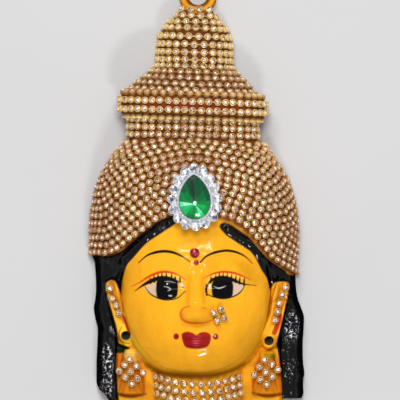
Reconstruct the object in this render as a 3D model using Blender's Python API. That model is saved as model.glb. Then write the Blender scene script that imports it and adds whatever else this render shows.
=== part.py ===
"""A goddess face mask for a shrine: a hollow painted cast, dressed with cup chains of small stones.

The mask lies on its back with the face up: +Z out of the face, +Y towards the crown's hanging loop.
Real sizes are in metres. The free form of the cast is given in hundredths of its own height:
x runs from the middle line, h from the neck's lower edge, and z from the back rim.
"""

import math

import bmesh
import bpy
import numpy as np

# Driving sizes, in metres
MASK_HEIGHT = 0.1836
WALL = 0.0030
LOOP_RADIUS = 0.0081
LOOP_HOLE_RADIUS = 0.0042
LOOP_THICKNESS = 0.0042
EAR_HOLE_RADIUS = 0.0020

# Cup chain: round metal cups on links, each with one stone
CUP_DIAMETER = 0.00296
CUP_HEIGHT = 0.0019
CHAIN_PITCH = 0.0039
ROW_GAP = 0.00008
ROW_PITCH = CUP_DIAMETER + ROW_GAP
LINK_WIDTH = 0.0009
LINK_HEIGHT = 0.0008
LINK_INSET = 0.22
SEAT_GAP = 0.0004
BAND_WIDTH = ROW_PITCH - 0.0003
BAND_TOP_WIDTH = 0.64 * BAND_WIDTH
BAND_STEP = 0.0066
CUP_SIDES = 6
PATCH_PITCH = 0.0034
LOWEST_CHAIN = 0.0022

# Brooch: a pear stone with a ring of round ones
PEAR_WIDTH = 0.0129
PEAR_LENGTH = 0.0184
PEAR_RISE = 0.0026
PEAR_LOW = 0.16
PEAR_TIP = 0.5
BEZEL_WIDTH = 0.0014
BEZEL_HEIGHT = 0.0031
HALO_STONE = 0.0039
HALO_COUNT = 16
HALO_HEIGHT = 0.0030
PLATE_THICKNESS = 0.0010

# Bindi stones on the brow
LARGE_BINDI = 0.0043
SMALL_BINDI = 0.0022
BINDI_RISE = 0.32

# Fineness of the cast
OUTER_FACES = 2700
CAVITY_FACES = 460
FINE_COLUMNS, FINE_ROWS = 92, 190
CAVITY_COLUMNS, CAVITY_ROWS = 44, 84

HUNDREDTH = MASK_HEIGHT / 100
RIM = 0.5

# Reach of the cutters below and above the cast, in metres
FORM_FOOT = -0.002
CAVITY_FOOT = -0.004
FLOOR_DEPTH = 0.02
HOLE_FOOT = -0.001
HOLE_TOP = 0.06

# Outline of the cast: h, left x, right x
OUTLINE = (
    (0.0, -20.0, 24.6),
    (1.4, -20.8, 25.1),
    (3.5, -22.6, 25.0),
    (5.1, -23.1, 25.0),
    (6.9, -23.1, 25.3),
    (9.7, -23.1, 25.0),
    (14.4, -22.9, 24.9),
    (17.8, -22.8, 25.1),
    (20.6, -23.4, 25.2),
    (22.9, -23.7, 24.5),
    (24.8, -23.4, 23.8),
    (27.1, -23.2, 23.4),
    (33.6, -23.5, 23.1),
    (35.2, -24.1, 23.1),
    (38.7, -24.1, 23.3),
    (43.3, -23.9, 23.1),
    (47.9, -23.3, 22.3),
    (52.5, -21.9, 20.8),
    (57.2, -19.2, 17.9),
    (59.5, -17.3, 16.4),
    (62.5, -15.3, 14.3),
    (67.2, -15.2, 13.9),
    (67.5, -17.3, 16.0),
    (71.7, -17.3, 16.0),
    (72.1, -16.4, 14.8),
    (74.7, -13.1, 11.9),
    (77.5, -9.9, 9.1),
    (78.9, -8.9, 8.1),
    (86.3, -7.9, 7.5),
    (87.5, -7.0, 6.7),
    (89.3, -5.5, 5.4),
    (91.0, -4.0, 4.3),
    (93.1, -2.8, 3.6),
)
TOP = OUTLINE[-1][0]

# Crown: h, height of its middle, height of its upright side
CROWN = (
    (28.0, 16.4, 0.0),
    (35.2, 17.3, 0.0),
    (41.0, 18.1, 0.0),
    (47.9, 18.5, 0.0),
    (54.9, 17.9, 0.5),
    (58.0, 16.9, 1.8),
    (60.4, 14.9, 3.6),
    (62.5, 12.5, 4.6),
    (67.2, 12.5, 5.0),
    (67.5, 16.1, 6.0),
    (71.7, 16.1, 6.0),
    (72.1, 14.9, 5.4),
    (74.7, 12.6, 3.6),
    (77.5, 10.2, 1.4),
    (78.9, 9.1, 0.4),
    (86.3, 8.3, 0.0),
    (87.5, 7.4, 0.0),
    (89.3, 6.0, 0.9),
    (91.0, 4.8, 1.8),
    (93.1, 3.7, 2.4),
)

# Upper tiers of chain rows: name, h of the top, h of the bottom
TIERS = (
    ("finial", 92.8, 86.7),
    ("drum", 86.6, 79.4),
    ("skirt", 79.3, 72.2),
    ("flange", 71.65, 67.55),
    ("collar", 67.15, 62.1),
)
CROWN_TILT = 0.035
DOME_TOP = 62.0

# Lowest chain row of the crown: degrees round the crown, h
BROW_ROW = (
    (-112, 35.9),
    (-55, 35.9),
    (-45, 37.4),
    (-30, 41.3),
    (-17, 44.7),
    (0, 45.8),
    (17, 44.8),
    (28, 43.1),
    (40, 38.5),
    (50, 34.8),
    (62, 32.9),
    (78, 31.5),
    (112, 30.3),
)

# Crown's lower edge on the cast: x, h
CROWN_EDGE = (
    (-26.0, 34.8),
    (-19.9, 34.7),
    (-16.6, 36.5),
    (-11.6, 40.3),
    (-7.0, 43.4),
    (-0.4, 44.5),
    (6.1, 43.2),
    (10.1, 41.4),
    (14.0, 37.4),
    (17.1, 33.8),
    (20.0, 31.8),
    (22.3, 30.5),
    (26.0, 29.9),
)
CROWN_STEP = 1.0

# Face: a dome, then its features
FACE_MIDDLE = (0.0, 25.0)
FACE_REACH_X = 17.4
FACE_REACH_UP = 50.0
FACE_REACH_DOWN = 19.2
FACE_FULLNESS = 2.5
FACE_BASE = 6.9
FACE_RISE = 10.4
EYES = ((-6.7, 27.5), (6.2, 27.6))
NOSE_X = 0.3
LIPS = (0.1, 15.7)
CHIN = (0.1, 11.0)

# Face outline where the painted hair begins, from the parting round to the jaw: x, h
HAIRLINE_LEFT = (
    (-5.4, 42.2),
    (-7.6, 40.4),
    (-10.2, 38.5),
    (-12.9, 35.9),
    (-15.4, 33.1),
    (-16.8, 30.1),
    (-17.2, 26.6),
)
HAIRLINE_RIGHT = (
    (5.6, 41.0),
    (7.6, 39.1),
    (10.2, 37.7),
    (12.7, 36.2),
    (14.4, 33.9),
    (15.9, 30.4),
    (17.1, 26.6),
)
HAIR_ROLL_WIDTH = 2.6
HAIR_ROLL_RISE = 0.75

# Neck, side hair and the plain ground between them
NECK_X = 0.6
NECK_RADIUS = 11.5
NECK_HALF_WIDTH = 11.0
NECK_HEIGHT = 10.7
GROUND_HEIGHT = 4.2
HAIR_HEIGHT = 6.9
HAIR_ROUNDING = 3.0
LOCK_INNER = (-18.4, 19.7)

# Ears: middle line from top to lobe, half widths along it
EAR_LEFT = ((-19.4, 28.4), (-18.9, 25.4), (-17.8, 21.2), (-16.6, 17.6), (-16.1, 16.0))
EAR_RIGHT = ((20.0, 28.0), (19.6, 25.4), (18.8, 21.2), (17.8, 18.0), (17.2, 15.6))
EAR_HALF_WIDTHS = (1.5, 1.9, 1.75, 2.0, 2.3)
EAR_RISE = 2.3
EAR_HOLES = ((-16.2, 16.5), (17.0, 15.3))

# Bell earrings cast below the ears: x of the middle, h of the bottom and the top, half widths there
BELLS = ((-15.3, 2.6, 13.4, 3.4, 1.5), (16.5, 2.6, 12.6, 3.4, 1.7))
BELL_RISE = 2.9
BELL_FLUTES = 5
FLUTE_DEPTH = 0.3

# Chain lengths on the cast: x, h of the first and last cup
EAR_CHAINS = {
    "ear_chain_left": ((-19.58, 27.43), (-18.01, 21.69), 4),
    "ear_chain_right": ((20.53, 27.80), (18.22, 20.14), 5),
}
# Patches of short chain lengths side by side: x, h of the middle, turn in degrees, lengths, cups in each
PATCHES = {
    "nose_stones": (4.98, 21.43, -65, 2, 2),
    "ear_flower_left": (-15.05, 8.15, -45, 3, 3),
    "ear_flower_right": (16.25, 8.05, 53, 3, 3),
}
NECKLACE_ROWS = ((5.3, "necklace_row_1"), (3.35, "necklace_row_2"), (1.45, "necklace_row_3"))
NECKLACE_SAG = 2.0
NECKLACE_REACH = 10.0

BROOCH = (-0.25, 48.6)
BROOCH_TILT = 2.0
LARGE_BINDI_AT = (-0.23, 35.7)
SMALL_BINDI_AT = (0.14, 33.5)
LOOP_AT = (0.5, 95.6)

YELLOW = (0.93, 0.50, 0.045, 1.0)
GOLD = (0.78, 0.50, 0.20, 1.0)
SILVER = (0.80, 0.82, 0.86, 1.0)
GREEN = (0.01, 0.28, 0.07, 1.0)
RED = (0.36, 0.01, 0.03, 1.0)


# Curves and fields


def smooth_through(knots, values, at):
    """Monotone cubic curve through the knots, read at the given places."""
    knots = np.asarray(knots, float)
    values = np.asarray(values, float)
    at = np.clip(at, knots[0], knots[-1])
    step = np.diff(knots)
    slope = np.diff(values) / step
    tangent = np.zeros_like(values)
    same_way = slope[1:] * slope[:-1] > 0
    weight_a = 2 * step[1:] + step[:-1]
    weight_b = step[1:] + 2 * step[:-1]
    with np.errstate(divide="ignore", invalid="ignore"):
        mean = (weight_a + weight_b) / (weight_a / slope[:-1] + weight_b / slope[1:])
    tangent[1:-1] = np.where(same_way, mean, 0)
    tangent[0], tangent[-1] = slope[0], slope[-1]
    span = np.clip(np.searchsorted(knots, at, side="right") - 1, 0, len(step) - 1)
    s = (at - knots[span]) / step[span]
    return (
        (1 + 2 * s) * (1 - s) ** 2 * values[span]
        + s * (1 - s) ** 2 * step[span] * tangent[span]
        + s * s * (3 - 2 * s) * values[span + 1]
        + s * s * (s - 1) * step[span] * tangent[span + 1]
    )


def column(table, which, h):
    """One column of a table whose first column is h."""
    return smooth_through([row[0] for row in table], [row[which] for row in table], h)


def ease(low, high, value):
    """Smooth step from 0 at low to 1 at high."""
    s = np.clip((value - low) / (high - low), 0, 1)
    return s * s * (3 - 2 * s)


def soft_max(a, b, blend):
    """The larger of two heights, with the corner between them rounded."""
    share = np.clip(0.5 + 0.5 * (a - b) / blend, 0, 1)
    return b + (a - b) * share + blend * share * (1 - share)


def hump(x, h, middle, reach_x, reach_h):
    """A round bump that is 1 at its middle and fades out."""
    return np.exp(-(((x - middle[0]) / reach_x) ** 2) - ((h - middle[1]) / reach_h) ** 2)


def distance_to_path(x, h, path):
    """Distance to an open path, and the place along it from 0 to its last point."""
    best = np.full(np.shape(x), 1e9)
    along = np.zeros(np.shape(x))
    for n, (a, b) in enumerate(zip(path, path[1:])):
        across, up = b[0] - a[0], b[1] - a[1]
        share = ((x - a[0]) * across + (h - a[1]) * up) / (across**2 + up**2)
        share = np.clip(share, 0, 1)
        gap = np.hypot(x - a[0] - share * across, h - a[1] - share * up)
        nearer = gap < best
        best = np.where(nearer, gap, best)
        along = np.where(nearer, n + share, along)
    return best, along


# The cast's outer form, all in hundredths of its height


def tilt(h):
    """How far the upper tiers fall towards the mask's left ear, for each step across."""
    return CROWN_TILT * ease(56.0, 68.0, h)


def outline_at(x, h):
    """The outline's left and right x on the tilted level that runs through a place."""
    level = h + tilt(h) * x
    return level, column(OUTLINE, 1, level), column(OUTLINE, 2, level)


def crown_height(x, h):
    level, left, right = outline_at(x, h)
    middle, side = column(CROWN, 1, level), column(CROWN, 2, level)
    across = np.clip((2 * x - left - right) / (right - left), -1, 1)
    return side + (middle - side) * np.sqrt(1 - across**2)


def crown_edge(x):
    return smooth_through([p[0] for p in CROWN_EDGE], [p[1] for p in CROWN_EDGE], x)


def face_height(x, h):
    reach = np.where(h > FACE_MIDDLE[1], FACE_REACH_UP, FACE_REACH_DOWN)
    out = np.hypot((x - FACE_MIDDLE[0]) / FACE_REACH_X, (h - FACE_MIDDLE[1]) / reach)
    dome = FACE_BASE + FACE_RISE * np.sqrt(np.clip(1 - out**FACE_FULLNESS, 0, 1))
    return dome + features(x, h) - 60 * np.clip(out - 1, 0, 1)


def features(x, h):
    """Eyes, nose, lips and chin above the plain dome of the face."""
    eyes = sum(0.5 * hump(x, h, eye, 3.3, 1.9) for eye in EYES)
    sockets = sum(0.2 * hump(x, h, (eye[0] * 0.86, eye[1] + 2.0), 4.6, 1.6) for eye in EYES)
    return eyes - sockets + nose(x, h) + lips(x, h) + 0.5 * hump(x, h, CHIN, 4.2, 2.6)


def nose(x, h):
    """A ridge from the brow to a round tip, with a wing on each side."""
    away = np.abs(x - NOSE_X)
    ridge = (0.35 + 0.95 * ease(31.0, 22.5, h)) * ease(34.0, 29.0, h) * ease(18.3, 20.6, h)
    width = 1.75 + 0.65 * ease(30.0, 22.0, h)
    bridge = ridge * np.exp(-((away / width) ** 2.6))
    tip = 1.75 * hump(x, h, (NOSE_X, 21.5), 2.15, 1.75)
    wings = sum(0.85 * hump(x, h, (NOSE_X + side * 2.6, 21.2), 1.15, 1.45) for side in (-1, 1))
    return bridge + tip + wings


def lips(x, h):
    middle, level = LIPS
    upper = sum(0.75 * hump(x, h, (middle + side * 1.25, level + 0.75), 1.5, 0.7) for side in (-1, 1))
    lower = 1.0 * hump(x, h, (middle, level - 0.95), 2.2, 0.8)
    corners = sum(0.25 * hump(x, h, (middle + side * 3.6, level + 0.2), 0.9, 0.9) for side in (-1, 1))
    groove = 0.25 * hump(x, h, (middle, level + 2.6), 0.5, 1.1)
    return upper + lower - corners - groove


def neck_height(x, h):
    across = np.clip(np.abs(x - NECK_X), 0, NECK_RADIUS)
    round_neck = NECK_HEIGHT - NECK_RADIUS + np.sqrt(NECK_RADIUS**2 - across**2)
    fade = ease(NECK_HALF_WIDTH + 1.2, NECK_HALF_WIDTH, across)
    return GROUND_HEIGHT + (round_neck - GROUND_HEIGHT) * fade


def hair_height(x, h):
    _, left, right = outline_at(x, h)
    inside = np.minimum(x - left, right - x)
    rounded = np.clip(1 - inside / HAIR_ROUNDING, 0, 1)
    sides = HAIR_HEIGHT * np.sqrt(1 - rounded**2)
    head = crown_height(x, np.maximum(h, CROWN[0][0])) - CROWN_STEP
    return sides + (np.maximum(head, sides) - sides) * ease(26.5, 35.0, h)


def is_lock(x, h):
    """1 on the locks beside the neck, 0 on the ground between them."""
    left = ease(LOCK_INNER[0] + 0.4, LOCK_INNER[0] - 0.4, x)
    right = ease(LOCK_INNER[1] - 0.4, LOCK_INNER[1] + 0.4, x)
    return np.maximum(left + right, ease(14.0, 17.0, h))


def ear_rise(x, h, path):
    away, along = distance_to_path(x, h, path)
    half = np.interp(along, range(len(EAR_HALF_WIDTHS)), EAR_HALF_WIDTHS)
    plate = ease(1.12, 0.82, away / half)
    hollow = 0.35 * ease(0.62, 0.15, away / half)
    return EAR_RISE * plate - hollow * ease(4.0, 3.2, along)


def bell_rise(x, h, bell):
    middle, low, high, wide, narrow = bell
    half = narrow + (wide - narrow) * ease(high, low + 2.0, h)
    across = np.clip(np.abs(x - middle) / half, 0, 1)
    ends = ease(low - 0.5, low + 0.5, h) * ease(high + 0.8, high - 0.8, h)
    wave = np.abs(np.sin(0.5 * BELL_FLUTES * math.pi * across))
    flutes = FLUTE_DEPTH * wave * ease(high - 4.0, low + 3.0, h)
    return (BELL_RISE * np.sqrt(1 - across**2) - flutes * ease(1.0, 0.9, across)) * ends


def hair_roll(x, h):
    """The roll of hair between the brow and the crown, on each side of the parting."""
    rise = 0
    for hairline in (HAIRLINE_LEFT, HAIRLINE_RIGHT):
        away, along = distance_to_path(x, h, hairline)
        outside = ease(-0.3, 0.5, outside_face(x, h))
        rise = rise + outside * np.sin(np.pi * np.clip(away / HAIR_ROLL_WIDTH, 0, 1)) * ease(0, 0.7, along)
    return HAIR_ROLL_RISE * rise


def outside_face(x, h):
    """How far a place lies outside the hairline, above 0 on the hair."""
    left = smooth_through([p[1] for p in HAIRLINE_LEFT[::-1]], [p[0] for p in HAIRLINE_LEFT[::-1]], h)
    right = smooth_through([p[1] for p in HAIRLINE_RIGHT[::-1]], [p[0] for p in HAIRLINE_RIGHT[::-1]], h)
    return np.maximum(left - x, x - right)


def height(x, h):
    """Height of the cast's outer surface over its back rim."""
    ground = np.maximum(neck_height(x, h), GROUND_HEIGHT)
    lock = is_lock(x, h)
    low = ground + (hair_height(x, h) - ground) * lock
    low = low + sum(bell_rise(x, h, bell) for bell in BELLS)
    low = low + sum(ear_rise(x, h, path) for path in (EAR_LEFT, EAR_RIGHT))
    body = soft_max(low, face_height(x, h), 0.5)
    body = body + hair_roll(x, h)
    on_crown = ease(-0.15, 0.15, h - crown_edge(x))
    whole = body + (crown_height(x, h) - body) * on_crown
    _, left, right = outline_at(x, h)
    edge = np.sqrt(np.clip(np.minimum(x - left, right - x) / 1.2, 0, 1))
    return np.maximum(np.minimum(whole, RIM + 30 * edge), RIM)


def lower_end(x):
    """The cast's lower edge: the neck reaches furthest, the locks end a little higher."""
    return 1.1 * ease(-17.0, -19.5, x) + 1.9 * ease(18.5, 20.5, x)


def to_metres(x, h, z):
    """Points in the row frame, whose origin is under the middle of the mask's box."""
    return np.stack(np.broadcast_arrays(x, h - 50.0, z), -1) * HUNDREDTH


# Meshes


def new_object(name, points, faces, material=None):
    mesh = bpy.data.meshes.new(name)
    mesh.from_pydata([tuple(p) for p in points], [], faces)
    if material:
        mesh.materials.append(material)
    made = bpy.data.objects.new(name, mesh)
    bpy.context.scene.collection.objects.link(made)
    tidy = bmesh.new()
    tidy.from_mesh(mesh)
    bmesh.ops.remove_doubles(tidy, verts=tidy.verts, dist=1e-7)
    bmesh.ops.recalc_face_normals(tidy, faces=tidy.faces)
    bmesh.ops.triangulate(tidy, faces=tidy.faces)
    tidy.to_mesh(mesh)
    tidy.free()
    return made


def new_material(name, colour, roughness, metallic=0.0):
    made = bpy.data.materials.new(name)
    made.use_nodes = True
    shader = made.node_tree.nodes["Principled BSDF"]
    shader.inputs["Base Color"].default_value = colour
    shader.inputs["Roughness"].default_value = roughness
    shader.inputs["Metallic"].default_value = metallic
    made.diffuse_color = colour
    return made


def as_cutter(made):
    made.hide_render = True
    made.display_type = "WIRE"
    return made


def boolean(target, other, operation):
    cut = target.modifiers.new(operation.lower() + "_" + other.name, "BOOLEAN")
    cut.object = other
    cut.operation = operation
    cut.solver = "EXACT"


def thin_out(target, faces):
    """Fewer triangles where the form is plain."""
    fewer = target.modifiers.new("fewer_faces", "DECIMATE")
    fewer.ratio = min(1.0, faces / len(target.data.polygons))


def ring_faces(rings, sides):
    """Faces of a closed tube of rings of points, with a flat end at each side."""
    faces = []
    for ring in range(rings - 1):
        low, high = ring * sides, (ring + 1) * sides
        for n in range(sides):
            after = (n + 1) % sides
            faces.append((low + n, low + after, high + after, high + n))
    faces.append(tuple(range(sides - 1, -1, -1)))
    faces.append(tuple((rings - 1) * sides + n for n in range(sides)))
    return faces


def block(name, grid, floor):
    """A solid under a grid of points, with upright sides down to a flat floor."""
    rows, columns = grid.shape[:2]
    count = rows * columns
    place = np.arange(count).reshape(rows, columns)
    quads = np.stack([place[:-1, :-1], place[:-1, 1:], place[1:, 1:], place[1:, :-1]], -1)
    faces = [tuple(q) for q in quads.reshape(-1, 4)]
    border = [*place[0, :-1], *place[:-1, -1], *place[-1, :0:-1], *place[:0:-1, 0]]
    points = grid.reshape(-1, 3)
    feet = points[border] * (1, 1, 0) + (0, 0, floor)
    around = len(border)
    for n in range(around):
        after = (n + 1) % around
        faces.append((border[n], count + n, count + after, border[after]))
    faces.append(tuple(count + n for n in range(around - 1, -1, -1)))
    return new_object(name, np.concatenate([points, feet]), faces)


def spread_columns(count):
    """Angles round the form, closer together over the face than at its sides."""
    even = np.linspace(-1, 1, count)
    return np.radians(90 * (0.72 * even + 0.28 * even**3))


def form_grid(columns, rows, inset):
    """Places on the cast, inset from its outline and its ends."""
    even = np.linspace(0, 1, rows) * (TOP - 2 * inset) + inset
    stations = [row[0] for row in CROWN if 60 < row[0] < TOP - inset]
    h = np.unique(np.concatenate([even, stations]))[:, None]
    left = column(OUTLINE, 1, h) + inset
    right = column(OUTLINE, 2, h) - inset
    x = (left + right) / 2 + (right - left) / 2 * np.sin(spread_columns(columns))[None, :]
    h = h + lower_end(x) * np.clip(1 - h / 12.0, 0, 1)
    return x, h - tilt(h) * x


def outer_form():
    x, h = form_grid(FINE_COLUMNS, FINE_ROWS, 0.0)
    return block("mask_body", to_metres(x, h, height(x, h)), FORM_FOOT)


def cavity():
    """The hollow behind the face: the outer form lowered by the wall on every side."""
    wall = WALL / HUNDREDTH
    x, h = form_grid(CAVITY_COLUMNS, CAVITY_ROWS, wall)
    low = height(x, h)
    for reach in (0.6, 1.0):
        fall = wall * (1 - math.sqrt(max(0.0, 1 - reach**2)))
        for turn in np.linspace(0, 2 * math.pi, 12, endpoint=False):
            beside = height(x + reach * wall * math.cos(turn), h + reach * wall * math.sin(turn))
            low = np.minimum(low, beside + fall)
    z = np.maximum(low - wall, -0.5)
    made = as_cutter(block("cavity_cutter", to_metres(x, h, z), CAVITY_FOOT))
    thin_out(made, CAVITY_FACES)
    return made


def turned(name, profile, sides, at):
    """A shape turned round an upright axis through a point."""
    points, faces = prism(profile, sides, np.asarray(at, float), np.array([0.0, 0.0, 1.0]))
    return new_object(name, points, faces)


def loop_ring():
    """The hanging loop, flat behind and rounded in front."""
    middle = (LOOP_RADIUS + LOOP_HOLE_RADIUS) / 2
    half = (LOOP_RADIUS - LOOP_HOLE_RADIUS) / 2
    top = LOOP_THICKNESS
    profile = [
        (middle - half, 0.0),
        (middle + half, 0.0),
        (middle + half, 0.62 * top),
        (middle + 0.5 * half, top),
        (middle - 0.5 * half, top),
        (middle - half, 0.62 * top),
    ]
    centre = to_metres(LOOP_AT[0], LOOP_AT[1], 0.0)
    sides = 28
    points = []
    for a in np.linspace(0, 2 * math.pi, sides, endpoint=False):
        points += [centre + (r * math.cos(a), r * math.sin(a), z) for r, z in profile]
    count = len(profile)
    faces = []
    for n in range(sides):
        after = (n + 1) % sides
        for k in range(count):
            nxt = (k + 1) % count
            faces.append((n * count + k, n * count + nxt, after * count + nxt, after * count + k))
    return as_cutter(new_object("loop_ring", points, faces))


def ear_hole(name, at):
    centre = to_metres(at[0], at[1], 0.0)
    return as_cutter(turned(name, ((EAR_HOLE_RADIUS, HOLE_FOOT), (EAR_HOLE_RADIUS, HOLE_TOP)), 12, centre))


def floor_box():
    """All that reaches below the back plane, to be cut away."""
    corners = ((-1, -1), (1, -1), (1, 1), (-1, 1))
    points = [(sx * MASK_HEIGHT, sy * MASK_HEIGHT, z) for z in (-FLOOR_DEPTH, 0.0) for sx, sy in corners]
    faces = [(0, 3, 2, 1), (4, 5, 6, 7), (0, 1, 5, 4), (1, 2, 6, 5), (2, 3, 7, 6), (3, 0, 4, 7)]
    return as_cutter(new_object("floor_cutter", points, faces))


def make_body(material):
    body = outer_form()
    body.data.materials.append(material)
    thin_out(body, OUTER_FACES)
    boolean(body, loop_ring(), "UNION")
    boolean(body, cavity(), "DIFFERENCE")
    for side, at in zip(("left", "right"), EAR_HOLES):
        boolean(body, ear_hole("ear_hole_" + side, at), "DIFFERENCE")
    boolean(body, floor_box(), "DIFFERENCE")
    return body


# Chain rows


def crown_point(turn, h):
    """A point on the crown's smooth surface, turn radians round from its middle."""
    left, right = column(OUTLINE, 1, h), column(OUTLINE, 2, h)
    middle, side = column(CROWN, 1, h), column(CROWN, 2, h)
    x = (left + right) / 2 + (right - left) / 2 * np.sin(turn)
    return to_metres(x, h - tilt(h) * x, side + (middle - side) * np.cos(turn))


def dome_point(turn, h):
    """The dome's smooth surface, carried on straight up behind the collar."""
    level = np.minimum(h, DOME_TOP)
    on_dome = crown_point(turn, level)
    return on_dome + to_metres(0.0, 50.0 + h - level, 0.0)


def frame_on(surface, u, v):
    """Point, the two surface directions and the outward normal at places (u, v) of a surface."""
    small = 1e-3
    point = surface(u, v)
    along_u = (surface(u + small, v) - surface(u - small, v)) / (2 * small)
    along_v = (surface(u, v + small) - surface(u, v - small)) / (2 * small)
    normal = np.cross(along_u, along_v)
    normal /= np.linalg.norm(normal, axis=-1, keepdims=True)
    return point, along_u, along_v, normal


def move_on(surface, u, v, step):
    """Places reached from (u, v) by a step in space that lies along the surface."""
    _, along_u, along_v, _ = frame_on(surface, u, v)
    uu = (along_u**2).sum(-1)
    vv = (along_v**2).sum(-1)
    uv = (along_u * along_v).sum(-1)
    by_u = (along_u * step).sum(-1)
    by_v = (along_v * step).sum(-1)
    area = uu * vv - uv**2
    return u + (by_u * vv - by_v * uv) / area, v + (by_v * uu - by_u * uv) / area


def sideways(points, normal):
    """Unit directions across a line of points, in the surface."""
    along = np.gradient(points, axis=0)
    across = np.cross(normal, along)
    return across / np.linalg.norm(across, axis=-1, keepdims=True)


def respaced(surface, u, v, count):
    """The same line with its places evenly spaced."""
    points = surface(u, v)
    run = np.concatenate([[0], np.cumsum(np.linalg.norm(np.diff(points, axis=0), axis=1))])
    at = np.linspace(0, run[-1], count)
    return np.interp(at, run, u), np.interp(at, run, v)


def overlap(shift, count):
    """The part of a row of places that still has a partner when the row is shifted."""
    return slice(max(0, shift), count + min(0, shift))


def walk_field(surface, start_u, start_v, u, v):
    """Shortest way over the surface from a start line to every point of a grid."""
    points = surface(u, v)
    line = surface(start_u, start_v)
    away = np.linalg.norm(points[:, :, None] - line[None, None], axis=-1).min(-1)
    above = v >= np.interp(u, start_u, start_v)
    walk = np.where((away < 1.2 * ROW_PITCH) & above, away, 1.0)
    reach = range(-3, 4)
    steps = [(i, j) for i in reach for j in reach if math.gcd(i, j) == 1]
    rows, columns = u.shape
    for _ in range(120):
        before = walk.copy()
        for across, up in steps:
            here = (overlap(up, rows), overlap(across, columns))
            there = (overlap(-up, rows), overlap(-across, columns))
            length = np.linalg.norm(points[here] - points[there], axis=-1)
            walk[here] = np.minimum(walk[here], walk[there] + length)
        if np.abs(before - walk).max() < 1e-7:
            break
    return np.where(above, walk, 0)


def runs_of(keep):
    """First and last index of each unbroken run that is kept."""
    edges = np.flatnonzero(np.diff(np.concatenate([[0], keep.astype(int), [0]])))
    return list(zip(edges[::2], edges[1::2] - 1))


def band(name, surface, u, v, material):
    """One chain row as a strip as wide and as tall as its cups, on the surface."""
    dense = surface(u, v)
    length = np.linalg.norm(np.diff(dense, axis=0), axis=1).sum()
    spans = max(2, math.ceil(length / BAND_STEP))
    u, v = respaced(surface, u, v, 2 * spans + 1)
    points, _, _, normal = frame_on(surface, u, v)
    sag = np.linalg.norm(points[1::2] - (points[:-2:2] + points[2::2]) / 2, axis=1)
    lift = SEAT_GAP + np.maximum(np.append(sag, 0), np.insert(sag, 0, 0))[:, None]
    across = sideways(points, normal)[::2]
    u, v, points, normal = u[::2], v[::2], points[::2], normal[::2]
    foot = []
    for side in (-0.5, 0.5):
        beside = surface(*move_on(surface, u, v, across * side * BAND_WIDTH))
        foot.append(beside + normal * lift)
    top = [points + normal * (lift + CUP_HEIGHT) + across * side * BAND_TOP_WIDTH for side in (-0.5, 0.5)]
    rings = np.stack([foot[0], foot[1], top[1], top[0]], 1)
    return new_object(name, rings.reshape(-1, 3), ring_faces(len(rings), 4), material)


def tier_rows():
    """Level rows round each upper tier, as many as the chain's width allows."""
    dense = np.linspace(-math.pi / 2, math.pi / 2, 121)
    for name, high, low in TIERS:
        steps = np.linspace(high, low, 60)
        profile = crown_point(np.zeros(60), steps)
        run = np.concatenate([[0], np.cumsum(np.linalg.norm(np.diff(profile, axis=0), axis=1))])
        count = max(1, int(run[-1] / ROW_PITCH))
        for n in range(count):
            at = np.interp((n + 0.5) * run[-1] / count, run, steps)
            yield f"crown_{name}_chain_{n + 1}", dense, np.full(dense.shape, at)


def dome_rows():
    """Rows over the dome, each one chain further from the brow row, up to the collar."""
    turn = np.radians([row[0] for row in BROW_ROW])
    start = np.linspace(turn[0], turn[-1], 241)
    brow = smooth_through(turn, [row[1] for row in BROW_ROW], start)
    columns = np.linspace(turn[0], turn[-1], 97)
    levels = np.linspace(BROW_ROW[-1][1], DOME_TOP + 4, 100)
    u, v = np.meshgrid(columns, levels)
    walk = walk_field(dome_point, start, brow, u, v)
    half_cup = 0.5 * BAND_WIDTH / HUNDREDTH
    for number in range(60):
        if number:
            reached = [np.interp(number * ROW_PITCH, np.maximum.accumulate(w), levels) for w in walk.T]
        else:
            reached = np.interp(columns, start, brow)
        reached = np.convolve(np.pad(reached, 2, "edge"), (0.1, 0.2, 0.4, 0.2, 0.1), "valid")
        line = np.interp(start, columns, reached)
        at, line = respaced(dome_point, start, line, 321)
        height_over_rim = dome_point(at, line)[:, 2]
        keep = (height_over_rim > LOWEST_CHAIN) & (np.abs(at) < math.pi / 2) & (line < DOME_TOP - half_cup)
        found = [run for run in runs_of(keep) if run[1] - run[0] > 14]
        for part, (first, last) in enumerate(found):
            letter = "" if len(found) == 1 else "ab"[part]
            yield f"crown_dome_chain_{number + 1:02d}{letter}", at[first : last + 1], line[first : last + 1]


def cast_point(x, h):
    return to_metres(x, h, height(x, h))


def neck_point(x, h):
    return to_metres(x, h, neck_height(x, h))


def make_rows(material):
    for name, u, v in (*tier_rows(), *dome_rows()):
        band(name, crown_point, u, v, material)
    for h, name in NECKLACE_ROWS:
        x = np.linspace(NECK_X - NECKLACE_REACH, NECK_X + NECKLACE_REACH, 61)
        sag = h + NECKLACE_SAG * ((x - NECK_X) / NECKLACE_REACH) ** 2
        band(name, neck_point, x, sag, material)


# Small ornaments


def seat(x, h, radius):
    """Centre and outward direction of a disc that just clears the cast at a place."""
    reach = radius / HUNDREDTH
    east, west = cast_point(x + reach, h), cast_point(x - reach, h)
    north, south = cast_point(x, h + reach), cast_point(x, h - reach)
    normal = np.cross(east - west, north - south)
    normal /= np.linalg.norm(normal)
    turns = np.linspace(0, 2 * math.pi, 12, endpoint=False)
    around = cast_point(x + reach * np.cos(turns), h + reach * np.sin(turns))
    middle = cast_point(x, h)
    rise = max(0.0, float(((around - middle) @ normal).max()))
    return middle + normal * (rise + SEAT_GAP), normal


def axes_for(normal, turn=0.0):
    """Two directions across an upright one, the first turned in the plane."""
    first = np.cross((0.0, 1.0, 0.0), normal)
    first /= np.linalg.norm(first)
    second = np.cross(normal, first)
    along = math.cos(turn) * first + math.sin(turn) * second
    return along, math.cos(turn) * second - math.sin(turn) * first


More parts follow.
